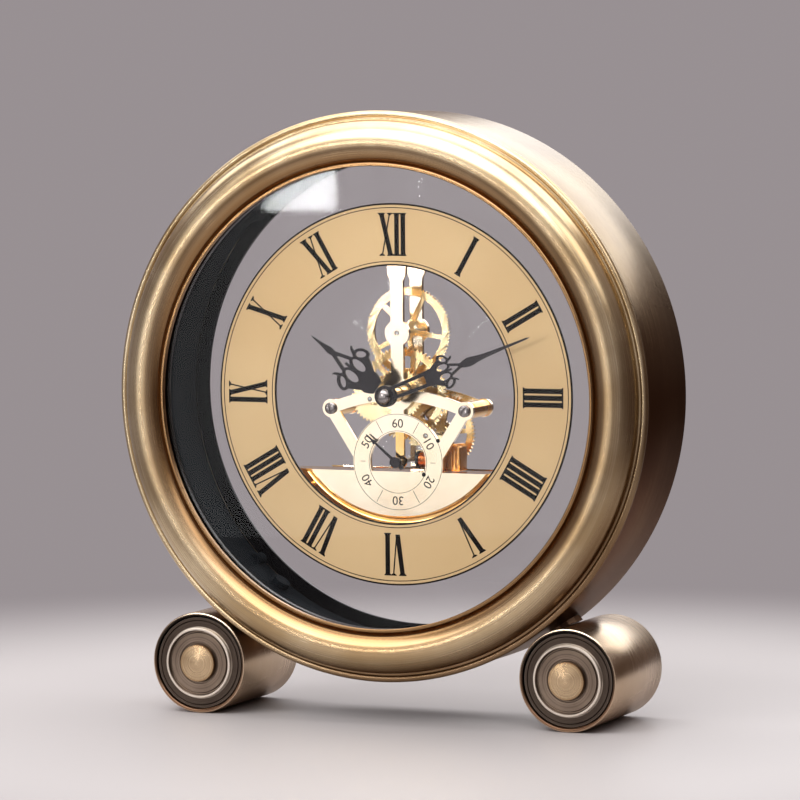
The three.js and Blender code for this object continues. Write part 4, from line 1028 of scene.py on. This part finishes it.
PILLAR_REAR = span("rear_plate")[0] - 0.3
for label, slot_angle in (("left", 80), ("right", -52)):
    x, z = middle(f"pillar_{label}")
    front, rear = span(f"pillar_{label}")
    post = carve(pillar(f"post_{label}", x, z, front, PILLAR_REAR, 0.9, rear),
                 hole(x, z, SCREW_HOLE, front, front + 2, 32))
    fit(soften(post, 0), "mirror_gold", gold_amber, f"pillar_{label}")

    front, rear = span(f"plate_screw_{label}")
    screw = turned(f"slotted_screw_{label}", [
        (0, front), (1.6, front), (2.0, front + 0.2), (2.1, front + 0.4), (2.1, front + 0.9),
        (0.9, front + 0.9), (0.9, rear), (0, rear)], x, z, 48)
    slot = slab("slot", x - 3, z - HALF_SLOT, x + 3, z + HALF_SLOT, front - 1, front + 0.5)
    carve(screw, turned_to(slot, x, z, slot_angle))
    fit(soften(screw, 0.05), "steel", smoked_steel, f"plate_screw_{label}")

for label, (x, z) in zip(HANGING_PILLARS, pillar_places):
    front, rear = span(f"pillar_{label}")
    post = pillar(f"post_{label}", x, z, front, PILLAR_REAR, 1.5, rear)
    fit(soften(post, 0), "mirror_gold", gold_amber, f"pillar_{label}")
    front, rear = span(f"nut_{label}")
    nut = carve(rod(f"hex_{label}", x, z, 3.4, front, rear, 6),
                hole(x, z, STUD_HOLE, front, rear, 32))
    fit(soften(nut, 0.15), "steel", steel, f"nut_{label}")

# %% [markdown]
# ## Wheels
# A wheel starts as a cylinder with four corners to a tooth. The corners at the roots are chosen by
# their angle and drawn in towards the arbor. A rim, tapered spokes and a hub are then fused, and
# the bore is cut. The tooth counts and turns are the CAD's, so that the wheels mesh.

# %% Toothed parts
ADDENDUM, DEDENDUM = 0.75, 1.15
WHEEL_RIM, WHEEL_BORE = 2.2, 1.0


def toothed(name, teeth, module, x, z, turn, front, rear):
    """A toothed disc whose first tooth points at turn degrees, from +x towards +z."""
    tip, root = module * (teeth / 2 + ADDENDUM), module * (teeth / 2 - DEDENDUM)
    pitch = FULL_TURN / teeth
    wheel = rod(name, x, z, tip, front, rear, 4 * teeth)
    centre = place(x, 0, z)
    corner = wheel.data.vertices[0].co - centre
    start = math.atan2(corner.z, corner.x)
    moved(wheel, about(x, z, start - math.radians(turn) - pitch / 8))
    bpy.ops.object.mode_set(mode="EDIT")
    bpy.ops.mesh.select_mode(type="VERT")
    bpy.ops.mesh.select_all(action="DESELECT")
    bpy.ops.object.mode_set(mode="OBJECT")
    for vertex in wheel.data.vertices:
        spoke = vertex.co - centre
        share = ((math.atan2(spoke.z, spoke.x) - math.radians(turn)) / pitch) % 1.0
        vertex.select = 0.25 < share < 0.75
    bpy.ops.object.mode_set(mode="EDIT")
    bpy.ops.transform.resize(value=(root / tip, 1, root / tip), center_override=centre)
    return settle(wheel, name)


def spoked_wheel(name, teeth, module, x, z, turn, spoke_turn, front, rear):
    inner = module * (teeth / 2 - DEDENDUM) - WHEEL_RIM
    reach = inner + 0.6
    wheel = carve(toothed(name, teeth, module, x, z, turn, front, rear),
                  hole(x, z, inner, front, rear, 128))
    parts = [rod("hub", x, z, 2.6, front, rear, 48)]
    for i in range(5):
        tip = polar(reach, math.radians(spoke_turn + 72 * i), x, z)
        parts.append(bar((x, z), tip, 2.0, front, rear - front, 1.5))
    return carve(fuse(wheel, *parts), hole(x, z, WHEEL_BORE, front, rear, 32))


CENTRE_TO_THIRD = math.degrees(math.atan2(THIRD_Z, THIRD_X))
THIRD_TO_SECONDS = math.degrees(math.atan2(SECONDS_Z - THIRD_Z, -THIRD_X))
print("centre to third", round(CENTRE_TO_THIRD, 2), "third to seconds",
      round(THIRD_TO_SECONDS, 2))

# %% Train wheels
CENTRE_MODULE, THIRD_MODULE, TOP_MODULE = 0.5, 0.42, 2 * TOP_Z / 110
front, rear = span("top_wheel_driver")
TRAIN_WHEELS = [
    (spoked_wheel("great_wheel", 64, CENTRE_MODULE, 0, 0, CENTRE_TO_THIRD, -8,
                  *span("centre_wheel")), "minute_train", "centre_wheel"),
    (carve(toothed("driver_wheel", 30, TOP_MODULE, 0, 0, 96, front, rear),
           hole(0, 0, WHEEL_BORE, front, rear, 32)), "minute_train", "top_wheel_driver"),
    (spoked_wheel("crown_wheel", 80, TOP_MODULE, 0, TOP_Z, -90, -8, *span("top_wheel")),
     "top_train", "top_wheel"),
    (spoked_wheel("third_spoked", 60, THIRD_MODULE, THIRD_X, THIRD_Z, THIRD_TO_SECONDS,
                  THIRD_TO_SECONDS, *span("third_wheel")), "third_train", "third_wheel")]
for wheel, body, node in TRAIN_WHEELS:
    fit(soften(wheel, 0.06, 1), "satin_gold", gold_wheel, node, body=body)

# %% Motion work
MOTION_TURN = 190.5
MOTION_MODULE, HOUR_MODULE = 21.6 / 48, 21.6 / 50
DISC = 1.1
front, rear = span("motion_wheel")
wheel = fuse(toothed("minute_wheel", 36, MOTION_MODULE, MOTION_X, MOTION_Z, MOTION_TURN - 180,
                     rear - DISC, rear),
             toothed("leaves", 10, HOUR_MODULE, MOTION_X, MOTION_Z, MOTION_TURN - 180 + 18,
                     front, rear))
carve(wheel, hole(MOTION_X, MOTION_Z, 0.85, front, rear, 24))
fit(soften(wheel, 0.05, 1), "satin_gold", gold_wheel, "motion_wheel", body="motion_work")

front, rear = span("hour_wheel")
wheel = fuse(toothed("hour_disc", 40, HOUR_MODULE, 0, 0, MOTION_TURN, rear - DISC, rear),
             rod("pipe", 0, 0, 2.35, front, rear, 48))
carve(wheel, hole(0, 0, 1.75, front, rear))
fit(soften(wheel, 0.05, 1), "satin_gold", gold_wheel, "hour_wheel", body="hour_train")

front, rear = span("cannon_pinion")
wheel = fuse(toothed("cannon", 12, MOTION_MODULE, 0, 0, MOTION_TURN + 15, rear - DISC, rear),
             rod("pipe", 0, 0, 1.5, front, rear, 40))
carve(wheel, hole(0, 0, WHEEL_BORE, front, rear, 32))
fit(soften(wheel, 0.05, 1), "steel", steel, "cannon_pinion", body="minute_train")

# %% [markdown]
# ## Arbors
# Arbors are slim steel rods with polished conical ends. Two of them carry eight leaves that a
# wheel drives.

# %% Arbors
def arbor(name, x, z, front, rear, radius=0.7):
    return turned(name, [(0, front), (radius - 0.25, front), (radius, front + 0.3),
                         (radius, rear - 0.3), (radius - 0.25, rear), (0, rear)], x, z, 32)


for label, x, z, module, facing, driver_node in (
        ("third", THIRD_X, THIRD_Z, CENTRE_MODULE, CENTRE_TO_THIRD, "centre_wheel"),
        ("seconds", 0, SECONDS_Z, THIRD_MODULE, THIRD_TO_SECONDS, "third_wheel")):
    staff = fuse(arbor(f"staff_{label}", x, z, *span(f"{label}_arbor")),
                 toothed("leaves", 8, module, x, z, facing + 180 + 22.5, *span(driver_node)))
    fit(soften(staff, 0.04, 1), "steel", steel, f"{label}_arbor", body=f"{label}_train")

for node, body, z in (("top_arbor", "top_train", TOP_Z), ("centre_arbor", "minute_train", 0)):
    staff = arbor(f"staff_{node.split('_')[0]}", 0, z, *span(node))
    fit(soften(staff, 0), "steel", steel, node, body=body)

front, rear = span("motion_stud")
stud = turned(
    "stud_motion",
    [(0, front), (0.6, front), (0.6, rear - 0.35), (1.4, rear - 0.35), (1.4, rear), (0, rear)],
    MOTION_X, MOTION_Z, 32)
fit(soften(stud, 0.05), "steel", steel, "motion_stud")

# %% [markdown]
# ## Hands
# The hands are cut from thin blued-black steel: pierced lobes, small horns and a narrow blade. Both
# share one pattern in two sizes, so it is drawn once. Lobes are scaled rods, arms are tapered bars,
# and everything is fused flat before the lobes are pierced. The hands are made pointing to twelve
# and turned to the time that the clock shows, about ten past ten.

# %% Parts of a hand
HAND, HAND_HUB = 0.8, 3.8


def oval(x, z, half_side, half_length, lean, front, rear):
    """A flat oval that leans clockwise by some degrees."""
    return moved(rod("oval", x, z, 1, front, rear, 40),
                 about(x, z, math.radians(lean), (half_side, 1, half_length, 1)))


def chain(points, widths, front):
    """A bent arm whose width changes from point to point."""
    arms = []
    for i in range(len(points) - 1):
        arms.append(bar(points[i], points[i + 1], widths[i], front, HAND, widths[i + 1]))
        if i:
            arms.append(rod("knee", *points[i], widths[i] / 2, front, front + HAND, 24))
    return arms


NECK = [(0, 3.6), (1.2, 3.2), (3.0, 2.2), (4.1, 0.8), (4.2, -0.8), (3.4, -2.4), (2.5, -3.8),
        (0, -3.8)]
HORN = [(4.7, 9.6, 1.4), (4.9, 11.0, 1.1), (5.4, 12.1, 0.75), (6.2, 12.8, 0.3)]
BLADE_ARM = [(0.3, 16.6, 1.3), (1.25, 13.8, 1.25), (2.2, 11.0, 1.25), (2.5, 9.6, 1.3)]


def scrollwork(foot, size, front):
    """Four pierced lobes on a neck, with a horn on each side and two arms up to the blade."""
    def at(side, up):
        return side * size, foot + up * size

    rear = front + HAND
    solids = [flat("neck", mirrored([at(*point) for point in NECK]), front, HAND),
              bar(at(0, 0), at(0, 11.0), 1.5 * size, front, HAND, 0.9 * size)]
    holes = []
    for side in (-1, 1):
        inner, outer = at(side * 2.35, 6.4), at(side * 6.0, 8.0)
        solids += [oval(*inner, 2.45 * size, 4.1 * size, 0, front, rear),
                   oval(*outer, 2.15 * size, 3.2 * size, -35 * side, front, rear),
                   bar(at(side * 6.0, 5.6), at(side * 3.2, 0.8), 1.9 * size, front, HAND)]
        holes += [oval(*inner, 1.5 * size, 3.05 * size, 0, front - 1, rear + 1),
                  oval(*outer, 1.1 * size, 2.05 * size, -35 * side, front - 1, rear + 1)]
        for steps in (HORN, BLADE_ARM):
            solids += chain([at(side * x, up) for x, up, _ in steps],
                            [width * size for _, _, width in steps], front)
    return solids, holes


def finish_hand(blade, kind, solids, holes, bore, degrees):
    """Joins and pierces a hand that points to twelve, and turns it to the time."""
    front, rear = span(f"{kind}_hand")
    fuse(blade, rod("hub", 0, 0, HAND_HUB, front, rear), *solids)
    carve(blade, *holes, hole(0, 0, bore, front, rear, 48))
    turned_to(blade, 0, 0, degrees)
    fit(soften(blade, 0.1), "black_steel", hand_black, f"{kind}_hand", body=f"{kind}_train")


print("hand parts: oval, chain, scrollwork, finish_hand")

# %% Hour hand
front = span("hour_hand")[0]
blade = flat("hand_hour", mirrored([
    (0, 35.6), (0.3, 34.0), (0.5, 31.6), (0.8, 29.4), (1.2, 27.4), (1.25, 26.4), (0.85, 25.0),
    (0.8, 24.0), (0, 23.4)]), front, HAND)
finish_hand(blade, "hour", *scrollwork(8.4, 1.0, front), PIPE_HOLE, -54.3)

# %% Minute hand
front = span("minute_hand")[0]
blade = flat("hand_minute", mirrored([
    (0, 58.6), (0.3, 57.4), (0.55, 48.0), (0.8, 41.0), (1.1, 38.0), (1.55, 35.2), (1.6, 34.0),
    (1.2, 32.2), (0.75, 31.0), (0.6, 30.2), (0, 30.0)]), front, HAND)
solids, holes = scrollwork(19.4, 0.72, front)
solids += [bar((side * 1.75, 2.0), (side * 2.1, 18.6), 1.15, front, HAND, 1.3) for side in (-1, 1)]
finish_hand(blade, "minute", solids, holes, 1.8, 68.4)

# %% Seconds hand, hand nut and setting knob
front, rear = span("seconds_hand")
blade = flat("hand_seconds", mirrored([
    (0, -9.0), (0.22, -9.3), (0.3, -12.0), (0.95, -13.4), (0.32, -13.7), (0.45, -18.0),
    (0.6, -24.0), (0.9, -27.0), (0, -27.6)]), 15.2, 0.5)
fuse(blade, rod("hub", 0, SECONDS_Z, 2.0, front, rear, 48))
carve(blade, hole(0, SECONDS_Z, 1.0, front + 1.5, rear, 32))
turned_to(blade, 0, SECONDS_Z, -50)
fit(soften(blade, 0.06), "black_steel", hand_black, "seconds_hand", body="seconds_train")

front, rear = span("hand_nut")
cap = turned("cap_nut", [
    (0, front), (1.2, front + 0.06), (2.0, front + 0.3), (2.5, front + 0.75), (2.7, front + 1.2),
    (2.7, rear), (1.0, rear), (1.0, front + 0.6), (0, front + 0.6)], steps=64)
fit(soften(cap, 0), "black_steel", smoked_steel, "hand_nut", body="minute_train")

front, rear = span("setting_knob")
knob = rod("knurled_knob", 0, 0, 5.9, front, rear, 96)
GROOVES, GROOVE_RING = 24, 6.05
for i in range(GROOVES):
    carve(knob, rod("groove", *polar(GROOVE_RING, FULL_TURN * i / GROOVES), 0.38, front + 0.9,
                    rear + 1, 12))
carve(knob, rod("dish", 0, 0, 3.6, rear - 0.5, rear + 1),
      hole(0, 0, WHEEL_BORE, front, rear - 1.9, 24))
fit(soften(knob, 0.12), "black_plastic", black_plastic, "setting_knob", body="minute_train")

# %% [markdown]
# ## Motor and battery
# The coil is a black bobbin full of copper wire on a steel loop, beside the amber housing of the
# rotor. The winding's turns are ripples across its section, because real turns of wire would be
# thousands of faces that nobody sees.

# %% Coil, stator and housing
COIL_DEPTH, COIL_Z = sum(span("coil_bobbin")) / 2, middle("coil_bobbin")[1]
CORE = 1.4 / math.sqrt(2) + 0.3


def turned_along_x(name, profile):
    """A section spun about the coil's middle line, which runs along x."""
    return moved(turned(name, profile, steps=48), Matrix.Translation(place(0, COIL_DEPTH, COIL_Z))
                 @ Matrix.Rotation(-math.pi / 2, 4, "Z") @ Matrix.Translation(-place(0, 0, 0)))


left, _, right, _ = edges("coil_bobbin")
bobbin = turned_along_x("bobbin", [
    (CORE, left), (3.1, left), (3.1, left + 0.8), (CORE + 0.5, left + 0.8),
    (CORE + 0.5, right - 0.8), (3.1, right - 0.8), (3.1, right), (CORE, right)])
fit(soften(bobbin, 0.1), "black_plastic", black_plastic, "coil_bobbin")

wind_left, wind_right = left + 1.1, right - 1.1
steps = 3 * 40
ripples = [(2.62 + 0.14 * abs(math.sin(math.pi * i / 3)),
            wind_left + (wind_right - wind_left) * i / steps) for i in range(steps + 1)]
winding = turned_along_x("winding", [(CORE + 0.8, wind_left), *ripples, (CORE + 0.8, wind_right)])
fit(soften(winding, 0), "copper_wire", copper, "coil_winding")
paint(steel, "stator")

left, foot, right, top = edges("motor_housing")
front, rear = span("motor_housing")
house = flat("amber_housing", [
    (left, foot), (right, foot), (right, top - 1.2), (right - 1.2, top), (left + 1.2, top),
    (left, top - 1.2)], front, rear - front)
carve(house, *[slab("groove", left + 0.9 + 1.25 * i, foot + 1.0, left + 1.35 + 1.25 * i, top - 1.4,
                    front - 1, front + 0.6) for i in range(4)])
fit(soften(house, 0.3, 3), "amber_plastic", amber_plastic, "motor_housing")

# %% Battery box and its lid
paint(black_plastic, "battery_box")
paint(cell_green, "battery_cell")
LID_FRONT, LID_REAR, LIP_INSET = 40.5, 42.3, 3.3
left, foot, right, top = edges("battery_cover")
front, rear = span("battery_cover")
lid = soften(slab("battery_lid_plate", left, foot, right, top, LID_FRONT, LID_REAR), 0.25)
lip = slab("lip", left + LIP_INSET, foot + LIP_INSET, right - LIP_INSET, top - LIP_INSET, front,
           LID_FRONT + 0.5)
middle_z = (foot + top) / 2
grips = [slab("grip", -7 + 2.4 * i, middle_z - 3.2, -6 + 2.4 * i, middle_z + 3.2, LID_REAR - 0.5,
              rear) for i in range(6)]
fuse(lid, lip, *grips)
fit(soften(lid, 0), "black_plastic", black_plastic, "battery_cover", body="battery_lid")

# %% [markdown]
# ## Seconds dial
# The seconds dial is printed on the front plate: two hair-thin circles, a line at every odd
# five, and the tens with their feet towards the centre. Plain digits from the built-in font are
# turned to a mesh, sized by their measured height, and sunk a little into the plate.

# %% Printed seconds dial
SECONDS_INK = span("front_plate")[0] - 0.04
DIGIT_HEIGHT, DIGIT_RADIUS = 3.1, 13.7


def digits(seconds):
    deselect()
    bpy.ops.object.text_add(rotation=(math.pi / 2, 0, 0))
    label = bpy.context.object
    label.data.body = str(seconds)
    label.data.align_x = "CENTER"
    label.data.extrude = 0.5
    bpy.ops.object.convert(target="MESH")
    bpy.ops.object.transform_apply()
    zs = [vertex.co.z for vertex in label.data.vertices]
    size = DIGIT_HEIGHT * MM / (max(zs) - min(zs))
    centre = place(0, SECONDS_INK + INK_THICK / 2, SECONDS_Z + DIGIT_RADIUS)
    middle_up = (max(zs) + min(zs)) / 2 * size
    moved(label, Matrix.Translation(centre - Vector((0, 0, middle_up)))
          @ Matrix.Diagonal((size, INK_THICK * MM, size, 1)))
    return turned_to(label, 0, SECONDS_Z, 6 * seconds)


print_parts = [printed_ring("ring", radius, radius + 0.15, SECONDS_INK, 0, SECONDS_Z)
               for radius in (10.95, 16.85)]
for seconds in (5, 15, 25, 35, 45, 55):
    low, high = (12.4, 14.4) if seconds in (15, 45) else (11.6, 16.4)
    line = stroke(0, 0, 0.16, SECONDS_Z + low, SECONDS_Z + high, SECONDS_INK)
    print_parts.append(turned_to(line, 0, SECONDS_Z, 6 * seconds))
print_parts += [digits(seconds) for seconds in (60, 10, 20, 30, 40, 50)]
print_parts += [rod("dot", x, z, 0.75, SECONDS_INK, SECONDS_INK + INK_THICK, 32)
                for x, z in ((15.4, -16.1), (9.9, -28.2))]
fit(joined(print_parts, "seconds_dial_print"), "black_steel", dial_ink)

# %% [markdown]
# ## Floor, light and camera
# A pale floor, a pale room and soft lights, as for a catalogue picture. The floor fades into the
# room's own colour a little way from the clock, so that no edge shows from any side. The camera
# stands where the photograph was taken: a little to the right of the clock, just above its middle.

# %% Floor
ROOM = (0.315, 0.280, 0.291)
CURTAIN = (0.085, 0.055, 0.043)
VIEW_RIGHT = (0.914, 0.398, 0.0)
FADE_NEAR, FADE_FAR = 0.17, 0.42
deselect()
bpy.ops.mesh.primitive_circle_add(vertices=96, radius=6.0, fill_type="NGON", location=(0, 0, 0))
floor = bpy.context.object
floor.name = "floor"
bench = Bench("floor")
spot = bench.add("ShaderNodeTexCoord", out="Object")
tone = bench.noise(spot, 3.0, 3.0)
to_right = bench.vector_math("DOT_PRODUCT", spot, VIEW_RIGHT)
to_back = bench.vector_math("DOT_PRODUCT", spot, (-VIEW_RIGHT[1], VIEW_RIGHT[0], 0.0))
darkened = bench.between(to_right - to_back * 0.11, 0.2, 0.45)
bench.principled(base_color=bench.mixed(
    darkened, bench.mixed(tone, (0.335, 0.315, 0.312), (0.36, 0.34, 0.336)), CURTAIN),
    roughness=0.5)
far = bench.add("ShaderNodeMapRange", {"interpolation_type": "SMOOTHSTEP"},
                {"Value": bench.vector_math("LENGTH", spot), "From Min": FADE_NEAR,
                 "From Max": FADE_FAR})
glow = bench.add(
    "ShaderNodeEmission", None, {"Color": bench.mixed(darkened, ROOM, CURTAIN), "Strength": 1.0})
bench.overlay(far, glow)
floor.data.materials.append(bench.material)
floor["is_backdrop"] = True
print("floor laid")

# %% [markdown]
# The room is one soft gradient, plain at the horizon and brighter overhead, with a dark brown
# curtain to the right of the camera's view and a lighter one to the left. Polished brass only
# shows what stands round it: the curtains give the sides of the clock their depth, and the four
# lamps above it the pale band on the upper half of the bezel.

# %% Room and lights
world = bpy.data.worlds.new("room")
bpy.context.scene.world = world
bench = Bench("room", world)
looked_at = bench.add("ShaderNodeTexCoord", out="Generated")
height = bench.add("ShaderNodeSeparateXYZ", None, {"Vector": looked_at}, out="Z")
to_right = bench.vector_math("DOT_PRODUCT", looked_at, VIEW_RIGHT)
sides = bench.between(to_right, 0.14, 0.45) + bench.between(to_right, -0.2, -0.9) * 0.4
curtain = sides * (1 - bench.between(height, 0.2, 0.6))
bench.feed(bench.shader.inputs["Color"], bench.mixed(curtain, ROOM, CURTAIN))
bench.feed(bench.shader.inputs["Strength"], 1 + bench.between(height, 0.1, 0.9) * 0.8)


def soft_box(name, at, target, width, height, radiance):
    """A rectangular lamp. Its power follows from its size and how bright its face looks."""
    lamp = bpy.data.lights.new(name, "AREA")
    lamp.shape = "RECTANGLE"
    lamp.size, lamp.size_y = width, height
    lamp.energy = radiance * math.pi * width * height
    holder = bpy.data.objects.new(name, lamp)
    bpy.context.scene.collection.objects.link(holder)
    holder.location = at
    holder.rotation_mode = "QUATERNION"
    holder.rotation_quaternion = (Vector(target) - Vector(at)).to_track_quat("-Z", "Y")


heart = (0, 0, 0.11)
soft_box("overhead", (-0.05, 0.40, 1.35), (-0.05, 0.4001, 0), 2.2, 1.5, 2.9)
soft_box("front_top", (-0.26, -1.05, 1.13), heart, 1.4, 1.1, 5.0)
soft_box("left_top", (-1.15, 0.2, 1.05), heart, 0.7, 0.5, 2.6)
soft_box("right_top", (0.70, -0.80, 0.85), heart, 0.6, 0.45, 3.0)
soft_box("back", (0.10, 1.05, 0.54), heart, 0.95, 0.36, 2.1)
soft_box("front_card", (-0.27, -0.60, 0.28), (-0.03, 0, 0.28), 0.5, 0.56, 0.92)
soft_box("window", (-0.528, -1.12, 0.191), (-0.528, 0, 0.191), 0.047, 0.10, 38.0)

# %% Camera
AZIMUTH, ELEVATION, ROLL = math.radians(23.524), math.radians(4.175), math.radians(-0.484)
DISTANCE, FOCAL_PIXELS, SIDE_PIXELS = 1.59775, 4581.03, 800
SHIFT_PIXELS = (21.959, -2.468)
back = Vector((math.sin(AZIMUTH) * math.cos(ELEVATION), -math.cos(AZIMUTH) * math.cos(ELEVATION),
               math.sin(ELEVATION)))
level = Vector((math.cos(AZIMUTH), math.sin(AZIMUTH), 0))
upright = back.cross(level)
right = level * math.cos(ROLL) + upright * math.sin(ROLL)
up = upright * math.cos(ROLL) - level * math.sin(ROLL)
camera_data = bpy.data.cameras.new("camera")
camera = bpy.data.objects.new("camera", camera_data)
bpy.context.scene.collection.objects.link(camera)
stand = Matrix((right, up, back)).transposed().to_4x4()
stand.translation = place(0, 0, 0) + back * DISTANCE
camera.matrix_world = stand
camera_data.sensor_width = 36
camera_data.lens = FOCAL_PIXELS * camera_data.sensor_width / SIDE_PIXELS
camera_data.shift_x, camera_data.shift_y = [shift / SIDE_PIXELS for shift in SHIFT_PIXELS]
bpy.context.scene.camera = camera
bpy.context.scene.view_settings.view_transform = "Standard"
print("camera lens", round(camera_data.lens, 1))

# %% [markdown]
# ## The dressed clock's box
# The box round the dressed clock, without the floor, is printed. The dressed clock has
# to stay in the CAD model's box.

# %% Print the box
low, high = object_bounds()
print("visual box", [round(v, 4) for v in low], [round(v, 4) for v in high])
